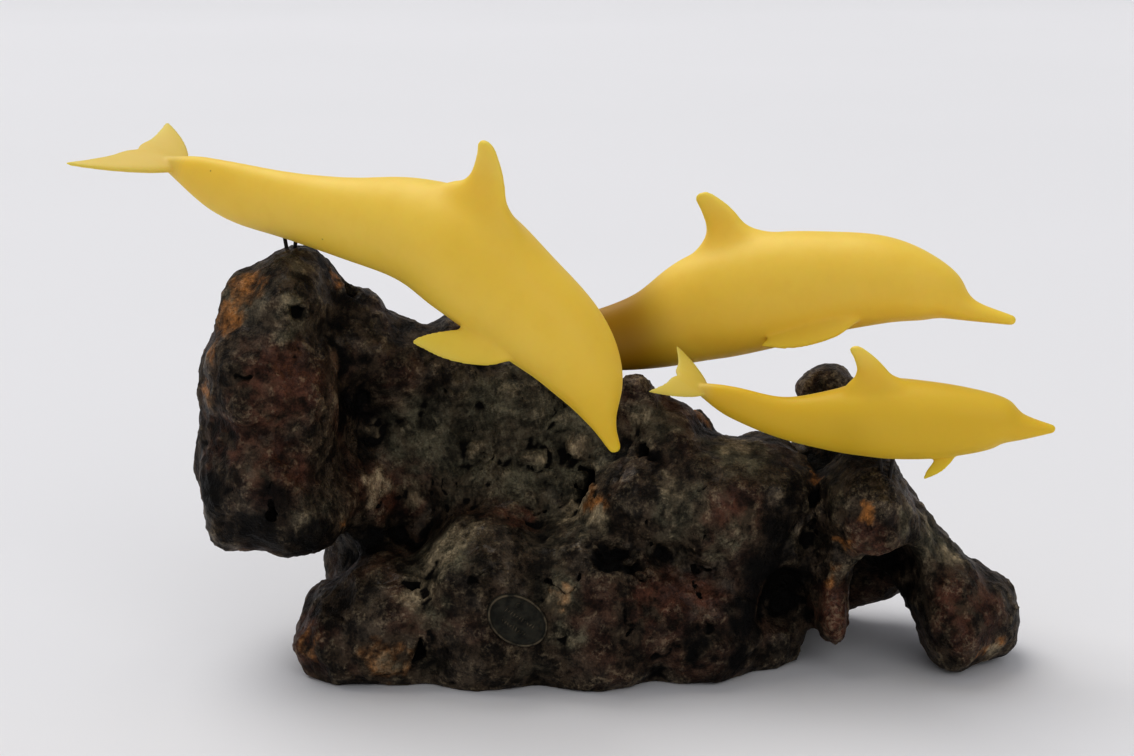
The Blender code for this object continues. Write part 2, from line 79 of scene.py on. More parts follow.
# Round burls standing out of the skin: centre in mm, radius, rise. The ones smaller than
# SMALL_KNOB stand up like buttons, with a groove round them.
SMALL_KNOB = 6
WOOD_KNOBS = (
    ((-13, -1, 78), 4.8, 3.4), ((5, 1, 82), 6.0, 3.6), ((-1, 5, 93), 3.4, 2.0),
    ((-3, 6, 99), 3.0, 1.4), ((-7, -2, 71), 2.8, 1.4), ((-14, -7, 63), 2.8, 1.5),
    ((-36, 2, 79), 4.2, 1.8), ((-27, 7, 97), 4.4, 1.8), ((-63, 1, 89), 3.4, 1.4),
    ((-78, 2, 89), 5.4, 2.0), ((-20, -10, 57), 10.0, 2.6), ((52, 18, 90), 5.0, 2.0),
    ((28, -2, 98), 5.0, 1.4), ((-105, -30, 132), 7.0, 1.6), ((-119, -41, 107), 8.0, 1.8),
    ((-101, -46, 84), 8.0, 1.6), ((35, -44, 20), 8.0, 1.8), ((-101, -30, 14), 8.0, 2.0),
    ((101, -34, 24), 6.0, 1.6), ((158, -40, 24), 8.0, 1.4), ((122, -44, 60), 7.0, 1.8),
    ((62, -38, 60), 7.0, 1.4), ((80, -34, 82), 6.0, 1.4), ((-66, -40, 30), 6.0, 1.6),
)

# Drying cracks: half-width and depth in mm, then the points that each runs through.
WOOD_CRACKS = (
    (0.9, 2.2, ((-107, -10, 161), (-105, -15, 159), (-102, -19, 156))),
    (0.8, 1.8, ((-106, -23, 153), (-102, -27, 148), (-100, -27, 143))),
    (1.1, 2.2, ((-124, -35, 118), (-115, -39, 120), (-104, -37, 121), (-97, -36, 119))),
    (0.8, 1.4, ((-128, -29, 123), (-123, -36, 120))),
    (1.0, 2.0, ((-108, -46, 83), (-108, -47, 77), (-107, -47, 71), (-109, -46, 66))),
    (0.7, 1.2, ((-105, -37, 104), (-109, -37, 97), (-111, -38, 93))),
    (0.9, 2.0, ((-47, -4, 110), (-45, -4, 103), (-45, -1, 93), (-46, 0, 82), (-47, -2, 74))),
    (0.7, 1.4, ((-38, 3, 93), (-37, 3, 89), (-33, 3, 88), (-27, 2, 89))),
    (0.9, 1.8, ((-28, 5, 95), (-27, 2, 89), (-27, 0, 82), (-30, 0, 76))),
    (0.8, 1.4, ((-34, 2, 85), (-34, 2, 81), (-30, 0, 79))),
    (0.7, 1.4, ((-52, -2, 72), (-51, -4, 55))),
    (0.7, 1.4, ((-48, -2, 70), (-46, -9, 55))),
    (0.7, 1.4, ((-44, -1, 72), (-42, -10, 56))),
    (1.2, 2.8, ((-13, -9, 58), (0, -8, 62), (9, -14, 66), (15, -24, 69))),
    (1.1, 2.4, ((-31, -43, 45), (-26, -40, 47), (-17, -39, 45), (-9, -40, 43), (-2, -43, 39),
                (4, -43, 41))),
    (0.8, 1.6, ((7, -36, 52), (6, -39, 48), (4, -43, 42))),
    (1.0, 2.2, ((25, -36, 46), (31, -34, 45), (31, -30, 52), (31, -33, 60), (30, -33, 64))),
    (0.9, 2.0, ((40, -31, 44), (46, -33, 43), (50, -38, 37), (51, -41, 32))),
    (0.8, 1.6, ((46, -32, 45), (52, -32, 43), (57, -33, 46))),
    (1.0, 2.2, ((52, -38, 61), (49, -36, 54), (47, -32, 46))),
    (0.8, 1.6, ((54, -37, 57), (60, -37, 57), (64, -37, 55))),
    (0.8, 1.6, ((49, -32, 74), (54, -31, 77), (58, -30, 78))),
    (0.9, 1.8, ((136, -29, 56), (140, -27, 50), (143, -27, 46))),
    (1.4, 3.0, ((93, 18, 80), (92, -12, 78), (93, -20, 60), (94, -22, 44), (93, -24, 34))),
    (1.0, 2.2, ((-118, -20, 60), (-110, -34, 58), (-98, -40, 56))),
    (0.9, 1.8, ((-88, -40, 30), (-82, -42, 20), (-84, -42, 10))),
    (0.9, 1.8, ((68, -40, 50), (70, -41, 42), (66, -42, 34))),
    (0.9, 1.8, ((108, -44, 72), (112, -45, 64), (110, -45, 54), (113, -44, 46))),
    (0.8, 1.6, ((-44, -46, 30), (-47, -46, 20), (-44, -46, 10))),
    (0.9, 1.8, ((20, -47, 36), (24, -47, 26), (20, -47, 14))),
)

# Torn grain beside these lines stands in ribs: spacing, height and reach in mm, then points.
WOOD_RIBS = (
    (3.4, 0.9, 12, ((-8, 5, 97), (-18, 2, 91), (-21, 0, 80), (-31, -4, 69), (-37, -8, 58))),
    (2.8, 0.9, 7, ((16, -25, 71), (21, -21, 78), (30, -19, 84), (42, -15, 90))),
    (3.0, 1.1, 9, ((-55, -38, 36), (-50, -34, 46), (-43, -28, 54), (-36, -16, 59))),
    (3.2, 0.9, 8, ((119, -28, 83), (128, -26, 73), (137, -20, 60), (147, -20, 48),
                   (152, -30, 40))),
    (2.6, 0.7, 8, ((-48, -1, 74), (-47, -8, 55))),
    (3.6, 1.2, 9, ((166, -24, 38), (161, -35, 33), (153, -42, 27), (144, -42, 20),
                   (139, -30, 14))),
    (2.6, 0.7, 7, ((-12, -44, 38), (2, -44, 37), (12, -45, 39))),
    (3.0, 0.8, 9, ((-70, -6, 118), (-60, -2, 108), (-48, 0, 104))),
    (2.8, 0.7, 8, ((-130, -10, 92), (-132, -10, 70), (-122, -16, 56))),
    (3.0, 0.8, 8, ((-92, -34, 34), (-80, -42, 28), (-70, -44, 20), (-66, -46, 8))),
    (3.0, 0.7, 8, ((44, -36, 76), (43, -38, 66), (44, -38, 56), (42, -40, 46))),
)

# Where each colour of the wood shows: centre and radius in mm. The last list is not a colour of the
# wood but painted shadow, nearly black, in the deepest recesses and under the arch.
WOOD_TINTS = {
    "grey": (((-30, 2, 84), 30), ((0, 2, 84), 26), ((-60, 0, 88), 18), ((-48, -30, 48), 14),
             ((66, -14, 84), 15), ((44, -30, 66), 12), ((-3, -43, 38), 9), ((32, -10, 94), 11),
             ((-98, -34, 140), 11), ((140, -22, 54), 12), ((-18, -6, 68), 12), ((9, -24, 60), 9),
             ((-50, -44, 30), 8), ((60, -36, 58), 9), ((1, -48, 24), 7), ((122, -34, 64), 8)),
    "ruddy": (((-105, -38, 116), 20), ((-20, -12, 57), 11), ((-104, -44, 84), 16),
              ((-66, -4, 68), 15), ((58, -36, 64), 12), ((36, -40, 36), 14), ((-98, -32, 14), 16),
              ((100, -32, 26), 14), ((152, -36, 30), 20), ((5, 0, 82), 6),
              ((50, -36, 36), 9), ((-122, -30, 92), 16), ((112, -42, 56), 12),
              ((144, -34, 32), 12)),
    # The first four amber spots, along the left lobe's left edge, are the wood's own orange with
    # painted light over it, where the light falls on that edge.
    "amber": (((-118, -17, 150), 8), ((-124, -22, 139), 8), ((-128, -24, 126), 7),
              ((-134, -26, 110), 5), ((111, -43, 69), 4), ((102, -34, 55), 4),
              ((93, -14, 76), 4), ((-89, 0, 150), 4), ((99, -31, 38), 5), ((-99, -36, 18), 6),
              ((-66, -46, 11), 8), ((164, -34, 8), 8), ((52, 18, 90), 7), ((-3, -43, 37), 5),
              ((12, -18, 65), 6), ((-80, -24, 60), 4)),
    "bare": (((-49, -31, 49), 9), ((-42, -28, 56), 8), ((-57, -38, 38), 7), ((39, -26, 72), 6),
             ((4, -12, 62), 8), ((11, -24, 60), 6), ((28, -6, 96), 5), ((-72, -8, 69), 8),
             ((-61, -2, 67), 6), ((135, -22, 60), 6), ((145, -21, 48), 6), ((165, -26, 6), 6),
             ((-13, -1, 79), 3), ((5, 1, 83), 4), ((-1, 5, 93), 2), ((-7, -2, 71), 2),
             ((-36, 2, 80), 4), ((-78, 2, 89), 4), ((-66, -45, 11), 6), ((-3, -43, 37), 5),
             ((64, -6, 86), 8), ((-100, -32, 146), 4)),
    "painted_shadow": (((84, -28, 70), 8), ((82, -31, 57), 12), ((77, -32, 42), 14), ((72, -37, 26), 13),
              ((66, -42, 12), 12), ((80, -18, 36), 14), ((48, -44, 16), 8), ((-76, -8, 47), 11),
              ((-82, -2, 141), 6), ((-81, -10, 119), 7), ((-84, -11, 98), 8),
              ((-132, -36, 76), 13), ((-114, -44, 62), 14), ((-106, -46, 76), 10),
              ((-95, -38, 56), 12), ((33, -18, 85), 5), ((9, -9, 69), 4), ((14, -38, 50), 7),
              ((23, -38, 46), 5), ((122, 0, 38), 12), ((131, -8, 24), 12), ((112, -8, 20), 12),
              ((-54, -42, 17), 4), ((-76, -16, 30), 10)),
}


class Bench:
    """Lays nodes in one tree. A node's outputs come back as values that can be reckoned with."""

    def __init__(self, tree):
        self.tree = tree

    def node(self, kind, settings=None, values=None, out=0):
        made = self.tree.nodes.new(kind)
        for name, value in (settings or {}).items():
            setattr(made, name, value)
        for name, value in (values or {}).items():
            self.plug(value, made.inputs[name])
        return Value(self, made.outputs[out])

    def plug(self, value, socket):
        if isinstance(value, Value):
            self.tree.links.new(value.socket, socket)
        elif socket.type == "RGBA" and len(value) == 3:
            socket.default_value = (*value, 1.0)
        else:
            socket.default_value = value

    def blend(self, mask, first, second):
        """The colour first where mask is 0, and second where it is 1."""
        inputs = {0: mask, 6: first, 7: second}
        return self.node("ShaderNodeMix", {"data_type": "RGBA"}, inputs, 2)

    def noise(self, place, scale, detail=2.0, roughness=0.5, out=0):
        """Cloudy noise. Its scale, like that of cells, is how many fit in a metre."""
        values = {"Vector": place, "Scale": scale, "Detail": detail, "Roughness": roughness}
        return self.node("ShaderNodeTexNoise", None, values, out)

    def cells(self, place, scale, feature="F1"):
        values = {"Vector": place, "Scale": scale}
        return self.node("ShaderNodeTexVoronoi", {"feature": feature}, values)

    def moved(self, how, place, by):
        return self.node("ShaderNodeVectorMath", {"operation": how}, {0: place, 1: by})

    def scaled(self, way, factor):
        values = {0: way, "Scale": factor}
        return self.node("ShaderNodeVectorMath", {"operation": "SCALE"}, values)

    def kept(self, name):
        """A value that the mesh keeps at its points."""
        return self.node("ShaderNodeAttribute", {"attribute_name": name}, None, 2)


class Value:
    """A node's output. Sums with it add the Math nodes that work them out."""

    def __init__(self, bench, socket):
        self.bench, self.socket = bench, socket

    def reckon(self, operation, *values):
        return self.bench.node("ShaderNodeMath", {"operation": operation}, dict(enumerate(values)))

    def __add__(self, other):
        return self.reckon("ADD", self, other)

    def __sub__(self, other):
        return self.reckon("SUBTRACT", self, other)

    def __rsub__(self, other):
        return self.reckon("SUBTRACT", other, self)

    def __mul__(self, other):
        return self.reckon("MULTIPLY", self, other)

    def __rtruediv__(self, other):
        return self.reckon("DIVIDE", other, self)

    __radd__ = __add__
    __rmul__ = __mul__

    def rise(self, low, high):
        """0 up to low and 1 from high on, with a soft ramp between."""
        values = {0: self, 1: low, 2: high, 3: 0.0, 4: 1.0}
        return self.bench.node("ShaderNodeMapRange", {"interpolation_type": "SMOOTHSTEP"}, values)

    def most(self, other):
        return self.reckon("MAXIMUM", self, other)

    def least(self, other):
        return self.reckon("MINIMUM", self, other)

    def size(self):
        return self.reckon("ABSOLUTE", self)


def finish(name, constants):
    """A new material with its nodes' bench, its shader, and Object coordinates."""
    made = bpy.data.materials.new(name)
    made.use_nodes = True
    shader = made.node_tree.nodes["Principled BSDF"]
    for socket, value in constants.items():
        shader.inputs[socket].default_value = value
    bench = Bench(made.node_tree)
    return made, bench, shader, bench.node("ShaderNodeTexCoord", None, None, "Object")


def bump(bench, shader, height, distance, strength):
    """Fine relief in the shading: how far it stands, and how strongly it shows."""
    values = {"Height": height, "Distance": distance, "Strength": strength}
    bench.plug(bench.node("ShaderNodeBump", None, values), shader.inputs["Normal"])


def stand_in(name, mesh, material=None):
    """A new object in the scene for a mesh."""
    made = bpy.data.objects.new(name, mesh)
    bpy.context.scene.collection.objects.link(made)
    if material:
        mesh.materials.clear()
        mesh.materials.append(material)
    return made


def settled(obj):
    """The object's mesh with its modifiers worked in, on the same object without them."""
    bpy.context.view_layer.update()
    graph = bpy.context.evaluated_depsgraph_get()
    mesh = bpy.data.meshes.new_from_object(obj.evaluated_get(graph))
    old = obj.data
    obj.modifiers.clear()
    obj.data = mesh
    bpy.data.meshes.remove(old)
    mesh.name = obj.name
    return obj


def mesh_of(bm, name):
    """The finished mesh of what was built point by point."""
    mesh = bpy.data.meshes.new(name)
    bm.to_mesh(mesh)
    bm.free()
    return mesh


WELD_DISTANCE = 2e-6


def welded_copy(node):
    """A node's mesh with its loose triangles joined, and without its material."""
    bm = bmesh.new()
    bm.from_mesh(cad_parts[node].data)
    bmesh.ops.remove_doubles(bm, verts=bm.verts, dist=WELD_DISTANCE)
    return mesh_of(bm, node)


def points_of(mesh):
    places = np.empty(len(mesh.vertices) * 3, dtype=np.float32)
    mesh.vertices.foreach_get("co", places)
    return places.reshape(-1, 3).astype(np.float64)


def normals_of(mesh):
    ways = np.empty(len(mesh.vertices) * 3, dtype=np.float32)
    mesh.vertex_normals.foreach_get("vector", ways)
    return ways.reshape(-1, 3).astype(np.float64)


def set_points(mesh, places):
    mesh.vertices.foreach_set("co", places.astype(np.float32).ravel())
    mesh.update()


def keep_value(mesh, name, values):
    """Keeps one number for each point, for the material to read."""
    layer = mesh.attributes.new(name, "FLOAT", "POINT")
    layer.data.foreach_set("value", np.asarray(values, dtype=np.float32))


def edges_of(mesh):
    ends = np.empty(len(mesh.edges) * 2, dtype=np.int32)
    mesh.edges.foreach_get("vertices", ends)
    return ends.reshape(-1, 2)


def neighbour_mean(values, edges):
    """Each point's neighbours, averaged."""
    count = len(values)
    one, other = edges[:, 0], edges[:, 1]
    shares = np.bincount(edges.ravel(), minlength=count).astype(float)
    shares[shares == 0] = 1
    columns = []
    for column in np.atleast_2d(values.T):
        total = np.bincount(one, column[other], count) + np.bincount(other, column[one], count)
        columns.append(total / shares)
    return np.array(columns).T.reshape(values.shape)


def soft_step(values, low, high):
    t = np.clip((values - low) / (high - low), 0, 1)
    return t * t * (3 - 2 * t)


def waver(places, width, seed):
    """Smooth, aimless movement of about -1 to 1 over a distance of width."""
    waves, usual_sum = 7, 3.2
    rng = np.random.default_rng(seed)
    total = np.zeros(len(places))
    for _ in range(waves):
        way = rng.normal(size=3)
        way *= rng.uniform(0.6, 1.5) * 2 * math.pi / width / np.linalg.norm(way)
        total += np.sin(places @ way + rng.uniform(0, 2 * math.pi))
    return total / usual_sum


def straying(places, width, seeds):
    """A smooth, aimless shift, with a seed for each of its three directions."""
    return np.stack([waver(places, width, seed) for seed in seeds], 1)


def length_of(ways):
    return np.sqrt((ways * ways).sum(1))


FAR = 1e9


def line_distance(places, line):
    """How far each point is from a line through several points."""
    nearest = np.full(len(places), FAR)
    for a, b in zip(np.array(line[:-1], float), np.array(line[1:], float)):
        along = b - a
        t = np.clip((places - a) @ along / (along @ along), 0, 1)
        gap = places - a - t[:, None] * along
        nearest = np.minimum(nearest, length_of(gap))
    return nearest


# The badge's seat, which the relief keeps clear of: its middle, how the badge is turned round
# the upright, tipped up and rolled, its size, and how far in front and behind it reaches.
BADGE_AT = Vector((-18.521, -45.273, 28.810)) * 0.001
BADGE_TURN, BADGE_TIP, BADGE_ROLL = (math.radians(angle) for angle in (14, 86, -37))
BADGE_PLACE = (
    Matrix.Translation(BADGE_AT)
    @ Matrix.Rotation(BADGE_TURN, 4, "Z")
    @ Matrix.Rotation(BADGE_TIP, 4, "X")
    @ Matrix.Rotation(BADGE_ROLL, 4, "Z")
)
BADGE_LENGTH, BADGE_WIDTH = 0.025, 0.018
SEAT_FRONT, SEAT_BEHIND = 0.02, 0.012


def crack_drift(places):
    """How far the cracks stray from their straight lines, in wide bends and tight ones."""
    wide = straying(places, 7, (43, 45, 48)) * 0.9
    return wide + straying(places, 2.6, (53, 55, 58)) * 0.30


def split_near(mesh, chosen):
    """Divides every side of the faces that touch the chosen points in two."""
    bm = bmesh.new()
    bm.from_mesh(mesh)
    bm.verts.ensure_lookup_table()
    faces = {face for i in np.flatnonzero(chosen) for face in bm.verts[i].link_faces}
    sides = list({side for face in faces for side in face.edges})
    bmesh.ops.subdivide_edges(bm, edges=sides, cuts=1, use_grid_fill=True)
    bmesh.ops.triangulate(bm, faces=[face for face in bm.faces if len(face.verts) > 4])
    bm.to_mesh(mesh)
    bm.free()


def seat_clearance(places):
    """0 on the badge's seat and the sawn underside, and 1 where the skin may be raised."""
    turned = Matrix.inverted(BADGE_PLACE)
    flat = (places / 1000) @ np.array(turned.to_3x3()).T + np.array(turned.translation)
    outward = np.hypot(flat[:, 0] / BADGE_LENGTH, flat[:, 1] / BADGE_WIDTH) * 2
    beside = (flat[:, 2] < SEAT_FRONT) & (flat[:, 2] > -SEAT_BEHIND)
    clear = np.where(beside, soft_step(outward, 1.06, 1.30), 1.0)
    return clear * soft_step(places[:, 2], 0.2, 2.0)


def carved_burl():
    """The block's skin with its pits, knobs, cracks and ribs, and the values the finish reads."""
    wood = stand_in("burl_wood", welded_copy("burl_base"))
    remesh = wood.modifiers.new("close skin", "REMESH")
    remesh.mode, remesh.voxel_size = "VOXEL", WOOD_VOXEL
    smooth = wood.modifiers.new("round off", "SMOOTH")
    smooth.factor, smooth.iterations = 0.5, 5
    settled(wood)
    mesh = wood.data
    for reach in SPLIT_REACHES:
        places = points_of(mesh) * 1000
        strayed = places + crack_drift(places)
        gap = np.full(len(places), FAR)
        for _, _, line in WOOD_CRACKS:
            gap = np.minimum(gap, line_distance(strayed, line))
        split_near(mesh, gap < reach)

    places, ways = points_of(mesh) * 1000, normals_of(mesh)
    clear = seat_clearance(places)
    drift = straying(places, 9, (3, 5, 8))
    drift += 0.45 * straying(places, 3.6, (13, 15, 18))
    loose, strayed = places + drift, places + crack_drift(places)
    patch, thick, ragged = (waver(places, width, width) for width in (13, 8, 4))
    # The second of these is painted shade, which darkens the pits, the cracks and the troughs
    # between ribs.
    height, crevice_shade = np.zeros(len(places)), np.zeros(len(places))
    for centre, radius, depth, tall in WOOD_PITS:
        gap = length_of((loose - np.array(centre, float)) / (1, 1, tall))
        gap = gap + 0.22 * radius * (thick + ragged)
        part = 1 - soft_step(gap, radius * 0.40, radius * 1.10)
        rim = np.exp(-(((gap - radius * 1.3) / (radius * 0.3)) ** 2))
        height += 0.16 * depth * rim * (1 - part) - depth * part
        crevice_shade = np.maximum(crevice_shade, part)
    for centre, radius, lift in WOOD_KNOBS:
        reach = length_of((loose - np.array(centre, float)) / radius)
        fullness, groove = (0.8, 0.14) if radius < SMALL_KNOB else (1.5, 0.0)
        height += lift * np.clip(1 - reach * reach, 0, 1) ** fullness
        height -= groove * lift * np.exp(-(((reach - 1.1) / 0.2) ** 2))
    for half, depth, line in WOOD_CRACKS:
        gap = line_distance(strayed, line) / (0.45 * half)
        gap = gap / (0.55 + 0.45 * soft_step(thick, -0.6, 0.6))
        part = np.exp(-(gap ** 2))
        height += 0.10 * depth * np.exp(-(((gap - 2.6) / 1.0) ** 2)) - 0.75 * depth * part
        crevice_shade = np.maximum(crevice_shade, np.exp(-((gap * 0.85) ** 2)))
    for spacing, lift, reach, line in WOOD_RIBS:
        gap = line_distance(places + drift * 0.9, line)
        part = 1 - soft_step(gap, reach * 0.45, reach)
        part *= 0.35 + 0.65 * soft_step(patch, -0.2, 0.5)
        rib = np.cos(2 * math.pi * gap / spacing + 1.9 * patch)
        height += 0.55 * lift * part * (0.5 * rib - 0.5 + (rib > 0) * 0.25 * rib)
        crevice_shade = np.maximum(crevice_shade, 0.35 * part * soft_step(-rib, 0.35, 1.0))
    set_points(mesh, (places + ways * (height * clear)[:, None]) / 1000)
    keep_value(mesh, "clear", clear)
    keep_value(mesh, "crevice_shade", crevice_shade * clear)
    for tint, spots in WOOD_TINTS.items():
        most = np.zeros(len(places))
        for centre, radius in spots:
            gap = length_of(places + drift * 3.0 - np.array(centre, float))
            most = np.maximum(most, 1 - soft_step(gap, radius * 0.4, radius * 1.2))
        keep_value(mesh, tint, most)
    return wood


def sized_tree(name, inputs, mesh=None):
    """A geometry tree with an input for a mesh, if it works on one, and for each size or finish."""
    tree = bpy.data.node_groups.new(name, "GeometryNodeTree")
    kinds = {mesh: "NodeSocketGeometry"} if mesh else {}
    for label, value in inputs.items():
        kinds[label] = "NodeSocketFloat" if isinstance(value, float) else "NodeSocketMaterial"
    for label, kind in kinds.items():
        tree.interface.new_socket(label, in_out="INPUT", socket_type=kind)
    tree.interface.new_socket("Result", in_out="OUTPUT", socket_type="NodeSocketGeometry")
    bench = Bench(tree)
    given = tree.nodes.new("NodeGroupInput")
    return bench, {s.name: Value(bench, s) for s in given.outputs if s.name}


def grown(obj, bench, made, finish_inlet, inputs):
    """Ends the tree, and gives the object the mesh that the tree makes of these inputs."""
    tree = bench.tree
    made = bench.node("GeometryNodeRealizeInstances", None, {"Geometry": made})
    values = {"Geometry": made, "Material": finish_inlet}
    made = bench.node("GeometryNodeSetMaterial", None, values)
    result = tree.nodes.new("NodeGroupOutput")
    tree.links.new(made.socket, result.inputs[0])
    modifier = obj.modifiers.new(tree.name, "NODES")
    modifier.node_group = tree
    for item in tree.interface.items_tree:
        if item.name in inputs:
            modifier[item.identifier] = inputs[item.name]
    return settled(obj)


def gnarl(wood, material):
    """Raises the all-over relief: swellings with creases between them, pocks, and fine grain."""
    inputs = {
        "swelling width": 0.016, "swelling height": 0.0026, "crease depth": 0.0005,
        "crumple height": 0.0009, "wrinkle height": 0.0003, "pock spacing": 0.0080,
        "pock depth": 0.0007, "grain depth": 0.0004, "drift": 0.004, "wood": material,
    }
    bench, inlet = sized_tree("gnarled skin", inputs, "Skin")
    place = bench.node("GeometryNodeInputPosition")
    way = bench.node("GeometryNodeInputNormal")
    clear = bench.node(
        "GeometryNodeInputNamedAttribute", {"data_type": "FLOAT"}, {"Name": "clear"}
    )

    # Where each pattern is looked up wanders, so that no edge runs straight.
    wander = bench.moved("SUBTRACT", bench.noise(place, 90.0, 2.0, out="Color"), (0.5, 0.5, 0.5))
    gone = bench.moved("ADD", place, bench.scaled(wander, inlet["drift"] * 2.0))
    width = 1.0 / inlet["swelling width"]
    swell = bench.noise(gone, width * 0.8, 3.0, 0.55)
    edge = bench.cells(gone, width, "DISTANCE_TO_EDGE")
    crease = 1.0 - edge.rise(0.0, 0.13)
    where = bench.noise(place, 34.0, 1.0).rise(0.50, 0.66)
    pock = 1.0 - bench.cells(gone, 1.0 / inlet["pock spacing"], "F1").rise(0.10, 0.42)
    seldom = bench.noise(place, 60.0, 1.0).rise(0.56, 0.70)
    long_place = bench.moved("MULTIPLY", gone, (1.0, 1.0, 0.28))
    grain = bench.noise(long_place, 420.0, 3.0, 0.6)
    fine = bench.noise(gone, 520.0, 2.0, 0.65)
    # The skin swells, is creased between some of the swellings, folds up along the middle of
    # two noises, is pocked in some places, and is grained along the wood.
    lift = (swell - 0.5) * 2.0 * inlet["swelling height"]
    lift = lift - crease * where * inlet["crease depth"]
    crumple = 0.07 - (bench.noise(gone, 66.0, 2.0, 0.5) - 0.5).size().least(0.12)
    wrinkle = 0.05 - (bench.noise(gone, 170.0, 1.0, 0.5) - 0.5).size().least(0.09)
    lift = lift + crumple * 8.0 * inlet["crumple height"] + wrinkle * 8.0 * inlet["wrinkle height"]
    lift = lift - pock * seldom * inlet["pock depth"]
    lift = lift + (grain - 0.5) * 2.0 * inlet["grain depth"]
    lift = lift + (fine - 0.5) * inlet["grain depth"] * 1.6
    shove = bench.scaled(way, lift * clear)
    skin = bench.node("GeometryNodeSetPosition", None, {"Geometry": inlet["Skin"], "Offset": shove})
    # Creases and pocks are darkened with painted shade, kept as sunk for the finish.
    painted_crease_shade = crease * where * 0.15 + pock * seldom * 0.45
    skin = bench.node(
        "GeometryNodeStoreNamedAttribute",
        {"data_type": "FLOAT", "domain": "POINT"},
        {"Geometry": skin, "Name": "sunk", "Value": painted_crease_shade * clear},
    )
    return grown(wood, bench, skin, inlet["wood"], inputs)


CHARRED, BROWN, DULL_TAN = (0.012, 0.008, 0.005), (0.044, 0.031, 0.020), (0.08, 0.06, 0.04)
RED_BROWN, ASH_GREY = (0.088, 0.032, 0.018), (0.132, 0.124, 0.084)
AMBER, TORN_TAN, PALE_FLECK = (0.30, 0.13, 0.038), (0.35, 0.28, 0.18), (0.30, 0.24, 0.16)
# The colour of painted shade, blended in where the hollows, pits and cracks are.
PAINTED_RECESS_SHADE = (0.0016, 0.0011, 0.0008)


def burl_finish():
    """Brown wood under zones of colour, each broken up by noise, then darkened by painted shade and
    shadow in its hollows.
    """
    made, bench, shader, place = finish("burl_wood_finish", {"Specular IOR Level": 0.12})
    broad = bench.noise(place, 26.0, 3.0, 0.6)
    patch = bench.noise(place, 62.0, 4.0, 0.62)
    middle = bench.noise(place, 150.0, 5.0, 0.68)
    small = bench.noise(place, 520.0, 4.0, 0.7)
    patch = patch + (small - 0.5) * 0.12
    stretched = bench.moved("MULTIPLY", place, (1.0, 1.0, 0.22))
    grain = bench.noise(stretched, 640.0, 3.0, 0.65)
    hollow = bench.kept("hollow")
    deep = bench.kept("deep")
    # Painted shade in the crevices, creases and pocks.
    crevice_shade = bench.kept("crevice_shade").most(bench.kept("sunk") * 0.8)
    grey, ruddy, amber, bare = (bench.kept(name) for name in ("grey", "ruddy", "amber", "bare"))

    colour = bench.blend(middle.rise(0.40, 0.62), CHARRED, BROWN)
    dull = patch.rise(0.50, 0.62) * (0.5 + small.rise(0.34, 0.62) * 0.3)
    colour = bench.blend(dull, colour, DULL_TAN)
    patchy = (ruddy * 0.95 + broad.rise(0.50, 0.64) * 0.45).least(1.0)
    colour = bench.blend(patchy * patch.rise(0.38, 0.56) * 0.85, colour, RED_BROWN)
    ashen = (grey * 1.0 + (1.0 - broad.rise(0.34, 0.44)) * 0.35).least(1.0)
    ashen = ashen * (0.35 + patch.rise(0.40, 0.60) * 0.65)
    colour = bench.blend(ashen * (0.58 + small.rise(0.36, 0.60) * 0.26), colour, ASH_GREY)
    glowing = amber * patch.rise(0.34, 0.52) * (0.5 + small.rise(0.30, 0.55) * 0.5)
    colour = bench.blend(glowing, colour, AMBER)
    torn_grain_and_highlight = bare * (0.55 + grain.rise(0.42, 0.58) * 0.45)
    # Raised points are also made paler here: a painted highlight on the ridges, added to the torn
    # grain.
    torn_grain_and_highlight = torn_grain_and_highlight + (1.0 - hollow).rise(0.60, 0.85) * small.rise(0.45, 0.6) * 0.28
    torn_grain_and_highlight = torn_grain_and_highlight.least(1.0) * (0.50 + patch.rise(0.42, 0.56) * 0.50)
    colour = bench.blend(torn_grain_and_highlight * 0.92, colour, TORN_TAN)
    fleck = bench.cells(place, 620.0, "F1").rise(0.12, 0.24)
    flecked = (1.0 - fleck) * bench.noise(place, 75.0, 2.0).rise(0.58, 0.68) * 0.15
    colour = bench.blend(flecked, colour, PALE_FLECK)
    grit = bench.noise(place, 1050.0, 3.0, 0.7).rise(0.34, 0.66) * 0.5
    colour = bench.scaled(colour, grit + middle.rise(0.40, 0.60) * 0.7 + 0.44)
    line = 1.0 - (bench.noise(place, 210.0, 2.0, 0.5) - 0.5).size().rise(0.0, 0.022)
    # Painted shade: pits, cracks, creases, hollows and deep recesses go towards the recess colour.
    shade = crevice_shade * 0.95 + hollow.rise(0.62, 1.20) * 0.85 + deep.rise(0.54, 0.84) * 0.45
    shade = shade + line * patch.rise(0.46, 0.60) * 0.45
    # Painted shadow, nearly black, where the light does not reach.
    shade = (shade + bench.kept("painted_shadow") * (0.55 + broad * 0.8)).least(0.98)
    bench.plug(bench.blend(shade, colour, PAINTED_RECESS_SHADE), shader.inputs["Base Color"])
    bench.plug(0.46 + ashen * 0.26 + small * 0.18, shader.inputs["Roughness"])
    gloss = (1.0 - shade) * patch.rise(0.44, 0.60) * (1.0 - ashen) * 0.16
    bench.plug(gloss, shader.inputs["Coat Weight"])
    folds = (bench.noise(place, 260.0, 3.0, 0.6) - 0.5).size()
    drawn = bench.moved("MULTIPLY", place, (1.0, 1.0, 0.35))
    fibres = (bench.noise(drawn, 620.0, 2.0, 0.6) - 0.5).size()
    relief = patch * 0.4 + middle * 0.6 + small * 0.35 + grain * (0.15 + bare * 0.5)
    relief = relief - folds * 0.9 - fibres * 0.4
    bump(bench, shader, relief, 0.0022, 1.0)
    return made


